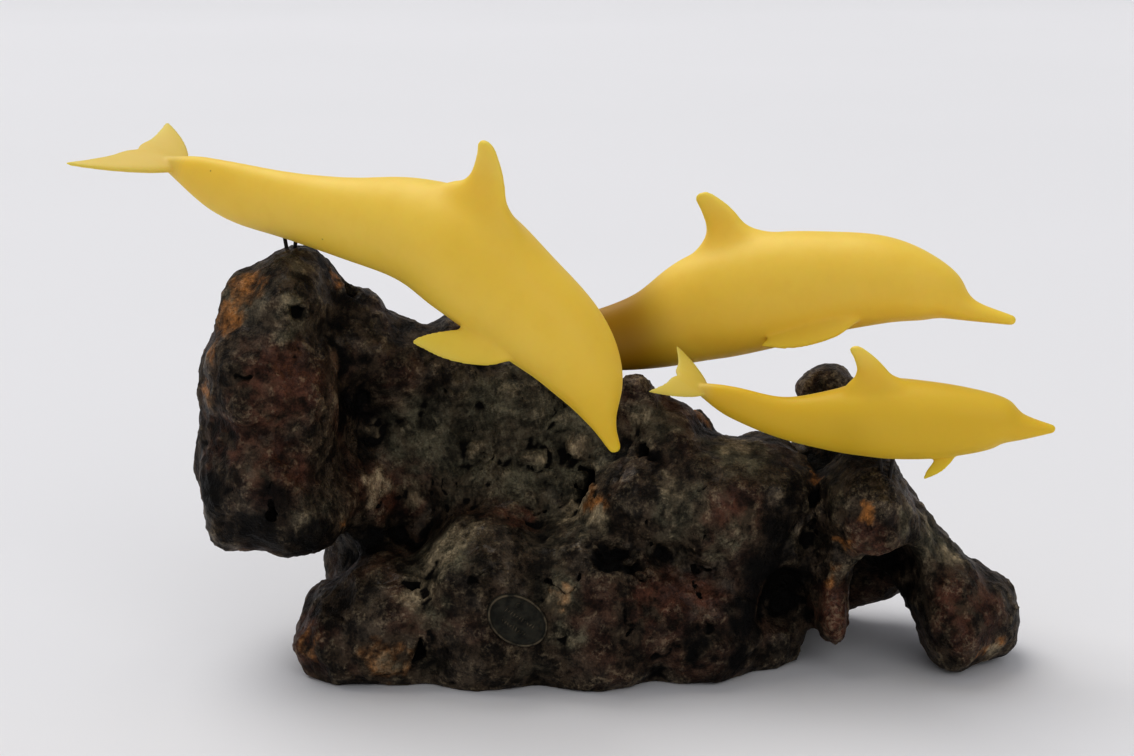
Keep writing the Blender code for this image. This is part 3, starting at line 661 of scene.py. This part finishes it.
WOOD = burl_finish()
burl_wood = gnarl(carved_burl(), WOOD)
skin = burl_wood.data
places, ways, edges = points_of(skin), normals_of(skin), edges_of(skin)
places[:, 2] = np.maximum(places[:, 2], 0.0)
set_points(skin, places)
eased = places
# How far each point lies below its neighbours, near and far. The finish paints shade where a point
# is sunk and highlights where it stands out.
for hollow, rounds, depth in (("hollow", 6, 0.0012), ("deep", 34, 0.0060)):
    for _ in range(rounds):
        eased = neighbour_mean(eased, edges)
    keep_value(skin, hollow, 0.5 + ((eased - places) * ways).sum(1) / depth)
skin.shade_smooth()
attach(burl_wood, "root")
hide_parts("burl_base")


# The badge: a small oval disc of dark bronze, glued into a flat seat cut in the wood's
# front. It was struck with a rounded rim, a grained sunk field, a ring mark, and two rows
# of shallow strokes. Its raised parts are rubbed a little brighter.

DISC_SIDES, FIELD_HEIGHT, STROKES_STAND = 96, 0.00134, 0.00132


def join_rows(bm, rows):
    """Faces between each closed row of points and the next."""
    for a, b in zip(rows, rows[1:]):
        for i in range(len(a)):
            j = (i + 1) % len(a)
            bm.faces.new((a[i], a[j], b[j], b[i]))


def oval_disc():
    """The disc with its rounded rim: ovals from the underside, over the rim, to the field."""
    profile = (
        (0.94, 0.0), (1.0, 0.00012), (1.0, 0.0011), (0.992, 0.00150), (0.970, 0.00175),
        (0.935, 0.00180), (0.905, 0.00168), (0.885, 0.00142), (0.870, 0.00128),
        (0.60, 0.00132), (0.30, FIELD_HEIGHT),
    )
    sides = DISC_SIDES
    bm = bmesh.new()
    rows = []
    for share, height in profile:
        inset = (1 - share) * BADGE_WIDTH / 2
        across, up = BADGE_LENGTH / 2 - inset, BADGE_WIDTH / 2 - inset
        turns = [2 * math.pi * i / sides for i in range(sides)]
        rows.append([bm.verts.new((across * math.cos(t), up * math.sin(t), height)) for t in turns])
    join_rows(bm, rows)
    for row, height, turn in ((rows[0], 0.0, True), (rows[-1], FIELD_HEIGHT, False)):
        centre = bm.verts.new((0, 0, height))
        for i in range(sides):
            a, b = row[i], row[(i + 1) % sides]
            bm.faces.new((centre, b, a) if turn else (centre, a, b))
    return mesh_of(bm, "badge disc")


def stroke_rows(material):
    """Two rows of short raised strokes of uneven height and lean, spread along lines."""
    inputs = {"stroke height": 0.0024, "stroke width": 0.00058, "row length": 0.0125,
              "stroke rise": 0.00062, "bronze": material}
    bench, inlet = sized_tree("struck rows", inputs)
    rows = []
    for number, (middle, reach, count) in enumerate(((0.0011, 1.0, 11), (-0.0030, 0.80, 9))):
        start = bench.node("ShaderNodeCombineXYZ", None,
                           {0: inlet["row length"] * -0.5 * reach, 1: middle, 2: STROKES_STAND})
        end = bench.node("ShaderNodeCombineXYZ", None,
                         {0: inlet["row length"] * 0.5 * reach, 1: middle, 2: STROKES_STAND})
        line = bench.node("GeometryNodeMeshLine", {"mode": "END_POINTS"},
                          {"Count": count, "Start Location": start, "Offset": end})
        bar = bench.node("GeometryNodeMeshUVSphere", None,
                         {"Segments": 10, "Rings": 6, "Radius": 0.5})
        size = bench.node("ShaderNodeCombineXYZ", None,
                          {0: inlet["stroke width"], 1: inlet["stroke height"],
                           2: inlet["stroke rise"]})
        bar = bench.node("GeometryNodeTransform", None, {"Geometry": bar, "Scale": size})
        chance = {"data_type": "FLOAT_VECTOR"}
        lean = bench.node("FunctionNodeRandomValue", chance,
                          {0: (0, 0, -0.55), 1: (0, 0, 0.55), "Seed": 11 + number})
        grow = bench.node("FunctionNodeRandomValue", chance,
                          {0: (0.85, 0.55, 0.8), 1: (1.3, 1.15, 1.1), "Seed": 23 + number})
        rows.append(bench.node("GeometryNodeInstanceOnPoints", None,
                               {"Points": line, "Instance": bar, "Rotation": lean, "Scale": grow}))
    join = bench.tree.nodes.new("GeometryNodeJoinGeometry")
    for row in rows:
        bench.tree.links.new(row.socket, join.inputs[0])
    strokes = stand_in("strokes", bpy.data.meshes.new("strokes"))
    return grown(strokes, bench, Value(bench, join.outputs[0]), inlet["bronze"], inputs)


def ring_mark():
    """A tiny raised ring above the rows."""
    bm = bmesh.new()
    turns, sides, radius, thick = 28, 8, 0.00095, 0.00017
    middle = Vector((-0.0032, 0.0048, 0.00136))
    rows = []
    for i in range(turns):
        t = 2 * math.pi * i / turns
        out = Vector((math.cos(t), math.sin(t), 0))
        row = []
        for j in range(sides):
            u = 2 * math.pi * j / sides
            reach = radius + thick * math.cos(u)
            row.append(bm.verts.new(middle + out * reach + Vector((0, 0, thick * math.sin(u)))))
        rows.append(row)
    join_rows(bm, rows + rows[:1])
    return mesh_of(bm, "ring mark")


DARK_BRONZE, BRONZE_CLOUD = (0.014, 0.013, 0.010), (0.040, 0.036, 0.026)
GREEN_PITS, RUBBED_BRONZE = (0.020, 0.030, 0.024), (0.135, 0.108, 0.070)


def bronze_finish():
    made, bench, shader, place = finish("dark_bronze_finish", {"Metallic": 0.75})
    cloud = bench.noise(place, 260.0, 3.0, 0.6)
    grit = bench.noise(place, 1500.0, 3.0, 0.7)
    raised = bench.kept("raised")
    colour = bench.blend(cloud.rise(0.35, 0.65), DARK_BRONZE, BRONZE_CLOUD)
    colour = bench.blend((1.0 - grit.rise(0.36, 0.50)) * 0.35, colour, GREEN_PITS)
    colour = bench.blend(raised * cloud.rise(0.30, 0.60) * 0.75, colour, RUBBED_BRONZE)
    bench.plug(colour, shader.inputs["Base Color"])
    bench.plug(0.58 - raised * 0.16 + grit * 0.12, shader.inputs["Roughness"])
    bump(bench, shader, grit * 0.7 + cloud * 0.4, 0.00014, 0.8)
    return made


BRONZE = bronze_finish()
strokes = stroke_rows(BRONZE)
bm = bmesh.new()
for part in (oval_disc(), strokes.data, ring_mark()):
    bm.from_mesh(part)
bmesh.ops.recalc_face_normals(bm, faces=bm.faces)
heights = [v.co.z for v in bm.verts]
bmesh.ops.transform(bm, matrix=BADGE_PLACE, verts=bm.verts)
badge_mesh = mesh_of(bm, "oval_bronze_badge")
bpy.data.objects.remove(strokes)
badge = stand_in("oval_bronze_badge", badge_mesh, BRONZE)
badge_mesh.shade_smooth()
keep_value(badge_mesh, "raised", soft_step(np.array(heights), 0.00140, 0.00165))
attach(badge, "root")
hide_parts("oval_badge")


# The dolphins: two grown ones and a calf, each cast in one piece of yellow resin, fins and
# all, and rubbed down to a satin skin. The resin is a little clear. Light and shade are
# also painted into its colour: the thin fins' paler glow, the shadow on the gliding
# dolphin's tail stock as amber, darker yellow nearer the wood, and a reflection of the wood
# on the undersides. Each hangs on its wire over the wood.

# Places along each spine, from the beak to the tail, in mm, with the body's half-height there.
# They keep their proportions: each spine is drawn to the dolphin's length.
RESIN_STATIONS_MM = {
    "leaping_dolphin": (
        ((22, -60, 100), 2.1), ((18, -58, 109), 4.7), ((13, -55, 123.5), 13.0),
        ((3.5, -51, 137.3), 17.8), ((-13.5, -43, 151.1), 21.1), ((-33, -34, 165.9), 23.3),
        ((-52, -24, 172.8), 20.1), ((-76, -12, 175), 16.1), ((-101, 2, 177.8), 13.4),
        ((-125, 13, 182), 12.0), ((-148, 26, 189.5), 7.5),
    ),
    "gliding_dolphin": (
        ((161, -30, 139), 1.8), ((146, -24, 142), 4.6), ((136, -19, 147), 10.9),
        ((119, -12, 150), 16.0), ((100, -4, 148), 18.8), ((78, 5, 143), 21.7),
        ((55, 13, 135), 21.0), ((34, 20, 124.4), 15.6), ((13, 27, 118.6), 11.9),
        ((-3, 37, 118), 8.3), ((-16, 50, 124), 4.8),
    ),
    "calf_dolphin": (
        ((175, -48, 105), 1.6), ((164, -45, 105), 5.2), ((157, -43, 106.3), 9.5),
        ((146, -40, 105.8), 12.7), ((132, -36, 105), 15.1), ((115, -31, 104.4), 15.8),
        ((100, -26, 102.1), 13.0), ((80, -22, 102.1), 8.9), ((62, -19, 107.1), 7.0),
        ((50, -16, 111.4), 5.2),
    ),
}

# Length in metres, roll in degrees, back fin (from, base, height, lean), flipper (from,
# span, sweep, droop, low), the flukes' pitch, and the voxel that the casting is made at.
RESIN_POSES = {
    "leaping_dolphin": (
        0.2205, 12, (0.322, 0.155, 0.101, -0.06), (0.258, 0.152, 44, 69, 32), -3, 0.00062
    ),
    "gliding_dolphin": (
        0.206, 4, (0.411, 0.153, 0.100, -0.10), (0.312, 0.152, 64, 54, 42), 0, 0.00060
    ),
    "calf_dolphin": (
        0.1285, 20, (0.370, 0.185, 0.120, 0.0), (0.283, 0.108, 34, 74, 58), 6, 0.00040
    ),
}
SPINE_ROWS, BODY_SIDES, FIN_ROWS, FIN_SIDES = 150, 56, 34, 32

# The body's width for its height, at shares of its length.
BODY_WIDTHS = (
    (0, 1.25), (0.05, 1.15), (0.12, 0.98), (0.30, 0.88), (0.50, 0.84), (0.75, 0.66), (1, 0.46)
)

# The fins' outlines: share of the span, then the front and the rear edge in chords.
BACK_FIN = (
    (-0.40, -0.10, 1.16), (0.0, 0.05, 1.06), (0.15, 0.24, 0.95), (0.40, 0.40, 0.865),
    (0.70, 0.55, 0.89), (0.92, 0.69, 0.94), (1.00, 0.76, 0.92), (1.025, 0.81, 0.88),
)
FLIPPER = (
    (-0.30, -0.14, 0.18), (0.08, -0.23, 0.22), (0.45, -0.18, 0.21), (0.72, -0.08, 0.20),
    (0.92, 0.04, 0.175), (1.00, 0.09, 0.145), (1.015, 0.105, 0.125),
)
FLUKE = (
    (0.0, -0.10, 0.52), (0.16, -0.06, 0.59), (0.42, 0.09, 0.62), (0.70, 0.34, 0.70),
    (0.90, 0.58, 0.77), (1.00, 0.73, 0.80), (1.01, 0.755, 0.785),
)

# How deep the fins' roots sit, in half-heights or half-widths of the body. Then the fins'
# thickness: the back fin's for its base, the flipper's for its span, and, with the flukes'
# half-span and chord and the tail's rounded end, shares of the dolphin's length.
BACK_FIN_SITS, FLIPPER_SITS = 0.97, 0.86
BACK_FIN_THICK, FLIPPER_THICK = 0.13, 0.085
FLUKE_THICK, FLUKE_SPAN, FLUKE_CHORD, TAIL_END = 0.0115, 0.125, 0.17, 0.035
BACK_FIN_FLARE = 0.55

# The middle of the gliding dolphin's tail stock, where the shadow of the leaping dolphin's head is
# painted into the resin as deep amber, in mm.
STOCK_SHADOW_AT_MM = (14, 27, 121)


def fair(rows, count):
    """count rows on the smooth curve through the given ones."""
    given = np.array(rows, float)
    last = len(given) - 1
    made = []
    for place in np.linspace(0, last, count):
        i = min(int(place), last - 1)
        t = place - i
        a, b, c, d = (given[min(max(k, 0), last)] for k in (i - 1, i, i + 1, i + 2))
        made.append(0.5 * (2 * b + (c - a) * t + (2 * a - 5 * b + 4 * c - d) * t**2
                           + (3 * b - a - 3 * c + d) * t**3))
    return np.array(made)


def unit(ways):
    return ways / np.linalg.norm(ways, axis=-1, keepdims=True)


class Casting:
    """A dolphin's spine, finely divided, with its half-height, half-width and directions."""

    def __init__(self, name):
        length, roll, self.back_fin, self.flipper, self.pitch, self.voxel = RESIN_POSES[name]
        stations = RESIN_STATIONS_MM[name]
        knots = np.array([place for place, _ in stations], float)
        scale = length / np.linalg.norm(np.diff(knots, axis=0), axis=1).sum()
        rows = fair([(*place, height) for place, height in stations], SPINE_ROWS) * scale
        for _ in range(6):
            rows[1:-1] = rows[1:-1] * 0.5 + (rows[:-2] + rows[2:]) * 0.25
        self.length, self.spine, self.high = length, rows[:, :3], rows[:, 3]
        steps = np.linalg.norm(np.diff(self.spine, axis=0), axis=1)
        travelled = np.concatenate(([0], np.cumsum(steps)))
        self.shares = travelled / travelled[-1]
        widths = np.interp(self.shares, *np.array(BODY_WIDTHS, float).T)
        for _ in range(60):
            widths[1:-1] = widths[1:-1] * 0.5 + (widths[:-2] + widths[2:]) * 0.25
        self.wide = self.high * widths
        self.high = self.high * (1 - 0.42 * np.clip((self.shares - 0.90) / 0.10, 0, 1) ** 2)
        lean = np.array((0, -math.sin(math.radians(roll)), math.cos(math.radians(roll))))
        ends = [np.interp(np.clip(self.shares + s, 0, 1), self.shares, c) for s in (0.02, -0.02)
                for c in self.spine.T]
        self.tail = unit(np.array(ends[:3]).T - np.array(ends[3:]).T)
        self.back = unit(lean - self.tail * (self.tail @ lean)[:, None])
        self.side = unit(np.cross(self.back, self.tail))

    def at(self, share):
        """Spine point, half-height, half-width, and the tail, back and side directions."""
        i = int(np.argmin(abs(self.shares - share)))
        return self.spine[i], self.high[i], self.wide[i], self.tail[i], self.back[i], self.side[i]


def oval(centre, across, up, sides):
    turns = 2 * math.pi * (np.arange(sides) + 0.5) / sides
    return centre + np.cos(turns)[:, None] * across + np.sin(turns)[:, None] * up


def add_skin(bm, rings):
    rows = [[bm.verts.new(p) for p in ring] for ring in rings]
    join_rows(bm, rows)
    bm.faces.new(rows[0])
    bm.faces.new(rows[-1])


def add_body(bm, body):
    rings = []
    point, high, wide, tail, back, side = body.at(0.0)
    for reach, size in ((0.93, 0.30), (0.80, 0.56), (0.55, 0.80), (0.28, 0.94)):
        place = point - tail * high * reach
        rings.append(oval(place, side * wide * size, back * high * size, BODY_SIDES))
    rows = zip(body.spine, body.side, body.wide, body.back, body.high)
    for place, side, wide, back, high in rows:
        rings.append(oval(place, side * wide, back * high, BODY_SIDES))
    point, high, wide, tail, back, side = body.at(1.0)
    end = point + tail * body.length * TAIL_END
    rings.append(oval(end, side * high * 0.50, back * high * 0.22, BODY_SIDES))
    add_skin(bm, rings)


def add_fin(bm, root, span, chord, thick, edges, both=False, flare=0.0):
    """A fin of ovals out from its root, on both sides of it for flukes, thinner to the tip."""
    rows = fair(edges, FIN_ROWS)
    if both:
        rows = np.concatenate([rows[:0:-1] * (-1, 1, 1), rows])
    rings = []
    for share, front, rear in rows:
        thinning = 1 - (0.75 if both else 0.72) * min(max(abs(share) if both else share, 0), 1)
        thinning += flare * max(0, 1 - max(share, 0) / 0.32) ** 2
        centre = root + span * share + chord * (front + rear) / 2
        rings.append(oval(centre, chord * (rear - front) / 2, thick * thinning, FIN_SIDES))
    add_skin(bm, rings)


def add_back_fin(bm, body):
    begin, base, height, lean = body.back_fin
    point, high, _, tail, back, side = body.at(begin + base / 2)
    chord = tail * base * body.length
    root = point + back * high * BACK_FIN_SITS - chord / 2
    span = back * height * body.length + chord * lean
    thick = side * base * body.length * BACK_FIN_THICK
    add_fin(bm, root, span, chord, thick, BACK_FIN, flare=BACK_FIN_FLARE)


def add_flippers(bm, body):
    share, reach, *angles = body.flipper
    sweep, droop, low = (math.radians(a) for a in angles)
    point, high, wide, tail, back, side = body.at(share)
    for sign in (1, -1):
        out = side * sign
        root = point + out * wide * math.cos(low) * FLIPPER_SITS
        root = root - back * high * math.sin(low) * FLIPPER_SITS
        away = out * math.cos(droop) - back * math.sin(droop)
        along = tail * math.sin(sweep) + away * math.cos(sweep)
        across = tail * math.cos(sweep) - away * math.sin(sweep)
        thick = unit(np.cross(along, across))
        span = reach * body.length
        add_fin(bm, root, along * span, across * span, thick * span * FLIPPER_THICK, FLIPPER)


def add_flukes(bm, body):
    point, _, _, tail, back, side = body.at(1.0)
    pitch = math.radians(body.pitch)
    chord = (tail * math.cos(pitch) + back * math.sin(pitch)) * FLUKE_CHORD * body.length
    thick = unit(np.cross(chord, side)) * FLUKE_THICK * body.length
    add_fin(bm, point, side * FLUKE_SPAN * body.length, chord, thick, FLUKE, both=True)


def nearest_row(places, body):
    """The row of the spine that each point is nearest to, found for some points at a time."""
    batch = 20000
    nearest = np.empty(len(places), dtype=int)
    for start in range(0, len(places), batch):
        gap = places[start:start + batch, None, :] - body.spine[None, :, :]
        nearest[start:start + batch] = (gap * gap).sum(2).argmin(1)
    return nearest


def spread(mask, edges, rounds, gain):
    """A mask run out over its neighbours, strengthened again, as a column."""
    for _ in range(rounds):
        mask = neighbour_mean(mask, edges)
    return np.clip(mask * gain, 0, 1)[:, None]


def rubbed(places, edges, mask, rounds, pulls):
    """The points drawn towards their neighbours' average where the mask is, by pulls in turn."""
    for step in range(rounds):
        pull = pulls[step % len(pulls)]
        places = places + mask * pull * (neighbour_mean(places, edges) - places)
    return places


def cast(name):
    """One dolphin joined and rubbed down, with its fins' roots eased, and its finish's values."""
    body = Casting(name)
    bm = bmesh.new()
    for add in (add_body, add_back_fin, add_flippers, add_flukes):
        add(bm, body)
    bmesh.ops.recalc_face_normals(bm, faces=bm.faces)
    resin = stand_in(name.replace("_dolphin", "_resin_dolphin"), mesh_of(bm, name))
    remesh = resin.modifiers.new("one casting", "REMESH")
    remesh.mode, remesh.voxel_size = "VOXEL", body.voxel
    smooth = resin.modifiers.new("rubbed down", "SMOOTH")
    smooth.factor, smooth.iterations = 0.5, 8
    settled(resin)

    mesh = resin.data
    places, edges = points_of(mesh), edges_of(mesh)
    nearest = nearest_row(places, body)
    away = places - body.spine[nearest]
    up = (away * body.back[nearest]).sum(1) / body.high[nearest]
    out = (away * body.side[nearest]).sum(1) / body.wide[nearest]
    reach = np.hypot(up, out)
    # The skin just outside the body, where the fins stand on it, is eased to a fillet. The
    # ledge that this leaves along the back fin's root is then rubbed away.
    root = soft_step(reach, 0.99, 1.04) * (1 - soft_step(reach, 1.10, 1.30))
    root = spread(root * (body.shares[nearest] < 0.93), edges, 6, 1.3)
    places = rubbed(places, edges, root, 60, (0.60, -0.58))
    places = rubbed(places, edges, root, 10, (0.5,))
    ledge = spread(root[:, 0] * soft_step(up, 0.30, 0.70), edges, 45, 2.6)
    places = rubbed(places, edges, ledge, 110, (0.5,))
    low, high = (np.array(corner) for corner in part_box(name))
    places += (low + high) / 2 - (places.max(0) + places.min(0)) / 2
    set_points(mesh, places)
    keep_value(mesh, "belly", 0.5 - 0.5 * (normals_of(mesh) * body.back[nearest]).sum(1))
    keep_value(mesh, "fin", soft_step(reach, 1.15, 1.9))
    keep_value(mesh, "tail", soft_step(body.shares[nearest], 0.96, 1.0))
    # The painted shadow on the gliding dolphin's tail stock, fading out from its middle.
    stock_shadow_gap = length_of(places * 1000 - np.array(STOCK_SHADOW_AT_MM))
    keep_value(mesh, "stock_shadow", 1 - soft_step(stock_shadow_gap, 16, 44))
    mesh.shade_smooth()
    return resin


YELLOW, WARM_YELLOW = (0.880, 0.600, 0.070), (0.920, 0.645, 0.095)
MOTTLED_YELLOW, SHADED_LOW_YELLOW = (0.830, 0.540, 0.055), (0.730, 0.480, 0.020)
UNDERSIDE_REFLECTION_YELLOW, PAINTED_FIN_GLOW = (0.840, 0.610, 0.110), (0.900, 0.660, 0.160)
TAIL_YELLOW, PAINTED_STOCK_SHADOW = (0.700, 0.520, 0.115), (0.360, 0.190, 0.002)
SPECK_BROWN = (0.26, 0.15, 0.03)


def resin_finish():
    made, bench, shader, place = finish(
        "yellow_resin_finish",
        {
            "Subsurface Weight": 0.40, "Subsurface Radius": (1.0, 0.60, 0.12),
            "Subsurface Scale": 0.010, "IOR": 1.50, "Specular IOR Level": 0.40,
        },
    )
    cloud = bench.noise(place, 16.0, 2.0, 0.5)
    mottle = bench.noise(place, 120.0, 3.0, 0.6)
    rub = bench.noise(bench.moved("MULTIPLY", place, (0.4, 1.0, 1.0)), 900.0, 2.0, 0.6)
    belly, fin, stock_shadow = bench.kept("belly"), bench.kept("fin"), bench.kept("stock_shadow")
    height = bench.node("ShaderNodeSeparateXYZ", None, {"Vector": place}, 2)
    colour = bench.blend(cloud.rise(0.35, 0.65), YELLOW, WARM_YELLOW)
    colour = bench.blend(mottle.rise(0.40, 0.70) * 0.20, colour, MOTTLED_YELLOW)
    # Lower down, nearer the dark wood, the yellow turns darker and deeper: painted shade.
    colour = bench.blend((1.0 - height.rise(0.095, 0.150)) * 0.85, colour, SHADED_LOW_YELLOW)
    # The undersides are tinted greener: a painted reflection of the dark wood below.
    colour = bench.blend(belly.rise(0.55, 0.95) * 0.25, colour, UNDERSIDE_REFLECTION_YELLOW)
    # Thin fins are made paler: painted light shining through them.
    colour = bench.blend(fin.rise(0.2, 1.0) * 0.40, colour, PAINTED_FIN_GLOW)
    colour = bench.blend(bench.kept("tail") * 0.75, colour, TAIL_YELLOW)
    # Painted shadow, deep amber, on the gliding dolphin's tail stock.
    colour = bench.blend(stock_shadow, colour, PAINTED_STOCK_SHADOW)
    speck = 1.0 - bench.cells(place, 70.0, "F1").rise(0.022, 0.034)
    colour = bench.blend(speck * 0.6, colour, SPECK_BROWN)
    bench.plug(colour, shader.inputs["Base Color"])
    bench.plug(0.42 + mottle * 0.10 + rub * 0.06, shader.inputs["Roughness"])
    bump(bench, shader, rub * 0.5 + mottle * 0.8, 0.00006, 0.5)
    return made


RESIN = resin_finish()
for name in RESIN_STATIONS_MM:
    dolphin = cast(name)
    dolphin.data.materials.append(RESIN)
    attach(dolphin, "root")
    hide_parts(name)


# The wires: black steel wire, bent into a narrow V. The bend is glued into the wood and the
# two ends into the belly, so that only a few millimetres of each leg show.

BLACK_FILM, BROWN_FILM = (0.012, 0.010, 0.009), (0.028, 0.022, 0.017)
SCUFFED_STEEL = (0.10, 0.085, 0.07)


def black_finish():
    made, bench, shader, place = finish("blackened_wire_finish", {"Metallic": 0.6})
    film = bench.noise(place, 700.0, 3.0, 0.6)
    scuff = bench.noise(bench.moved("MULTIPLY", place, (1.0, 1.0, 0.3)), 2600.0, 2.0, 0.6)
    colour = bench.blend(film.rise(0.35, 0.65), BLACK_FILM, BROWN_FILM)
    colour = bench.blend(scuff.rise(0.60, 0.72) * 0.5, colour, SCUFFED_STEEL)
    bench.plug(colour, shader.inputs["Base Color"])
    bench.plug(0.38 + film * 0.25, shader.inputs["Roughness"])
    bump(bench, shader, scuff * 0.6 + film * 0.6, 0.00005, 0.7)
    return made


BLACK = black_finish()
for name in RESIN_STATIONS_MM:
    wire = stand_in(f"{name.split('_')[0]}_steel_wire", welded_copy(f"{name}_wire"), BLACK)
    rounded = wire.modifiers.new("drawn round", "SUBSURF")
    rounded.levels = rounded.render_levels = 2
    settled(wire)
    wire.data.shade_smooth()
    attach(wire, "root")
    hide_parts(f"{name}_wire")


# The studio: a plain pale sweep that is floor and backdrop in one, a broad soft light above,
# behind and to the left, a weak one in front, a pale surround, and the camera where the
# photograph was taken.

SWEEP_REACH, SWEEP_BACK, SWEEP_CURVE, SWEEP_TOP = 30.0, 6.0, 1.5, 4.0
PAPER, PAPER_SHADED = (0.80, 0.80, 0.815), (0.83, 0.825, 0.845)


def sweep():
    bm = bmesh.new()
    profile = [(-SWEEP_REACH, 0.0), (SWEEP_BACK, 0.0)]
    profile += [(SWEEP_BACK + SWEEP_CURVE * math.sin(t), SWEEP_CURVE - SWEEP_CURVE * math.cos(t))
                for t in (math.radians(5 * i) for i in range(1, 19))]
    profile.append((SWEEP_BACK + SWEEP_CURVE, SWEEP_TOP))
    rows = [[bm.verts.new((x, y, z)) for x in (-SWEEP_REACH, SWEEP_REACH)] for y, z in profile]
    for a, b in zip(rows, rows[1:]):
        bm.faces.new((a[0], a[1], b[1], b[0]))
    mesh = mesh_of(bm, "paper_sweep")
    mesh.shade_smooth()
    made, bench, shader, place = finish("pale_paper", {"Specular IOR Level": 0.2})
    tone = bench.noise(place, 1.2, 2.0)
    bench.plug(bench.blend(tone, PAPER, PAPER_SHADED), shader.inputs["Base Color"])
    bench.plug(0.62 + tone * 0.1, shader.inputs["Roughness"])
    return stand_in("paper_sweep", mesh, made)


def add_sun(name, strength, spread, way, colour=(1.0, 1.0, 1.0)):
    """A soft light from far off, from the direction way, spread over an angle in degrees."""
    sun = bpy.data.lights.new(name, "SUN")
    sun.energy, sun.angle, sun.color = strength, math.radians(spread), colour
    lamp = bpy.data.objects.new(name, sun)
    lamp.matrix_world = Vector(way).to_track_quat("Z", "Y").to_matrix().to_4x4()
    bpy.context.scene.collection.objects.link(lamp)


sweep()
add_sun("overhead", 1.45, 50, (-0.42, 0.38, 1.0), (1.0, 0.985, 0.965))
add_sun("front", 0.40, 45, (0.35, -0.8, 0.6))

world = bpy.data.worlds.new("studio")
bpy.context.scene.world = world
world.use_nodes = True
sky = world.node_tree.nodes["Background"]
sky.inputs["Color"].default_value = (0.95, 0.96, 1.0, 1.0)
sky.inputs["Strength"].default_value = 0.36

lens = bpy.data.cameras.new("camera")
lens.lens, lens.sensor_width = 65.0, 36.0
lens.clip_start, lens.clip_end = 0.01, 20.0
camera = bpy.data.objects.new("camera", lens)
camera.location = (0.0, -0.759, 0.299)
camera.rotation_euler = (math.radians(76), 0.0, 0.0)
bpy.context.scene.collection.objects.link(camera)
bpy.context.scene.camera = camera
bpy.context.scene.view_settings.view_transform = "Standard"
bpy.context.scene.view_settings.look = "Medium High Contrast"
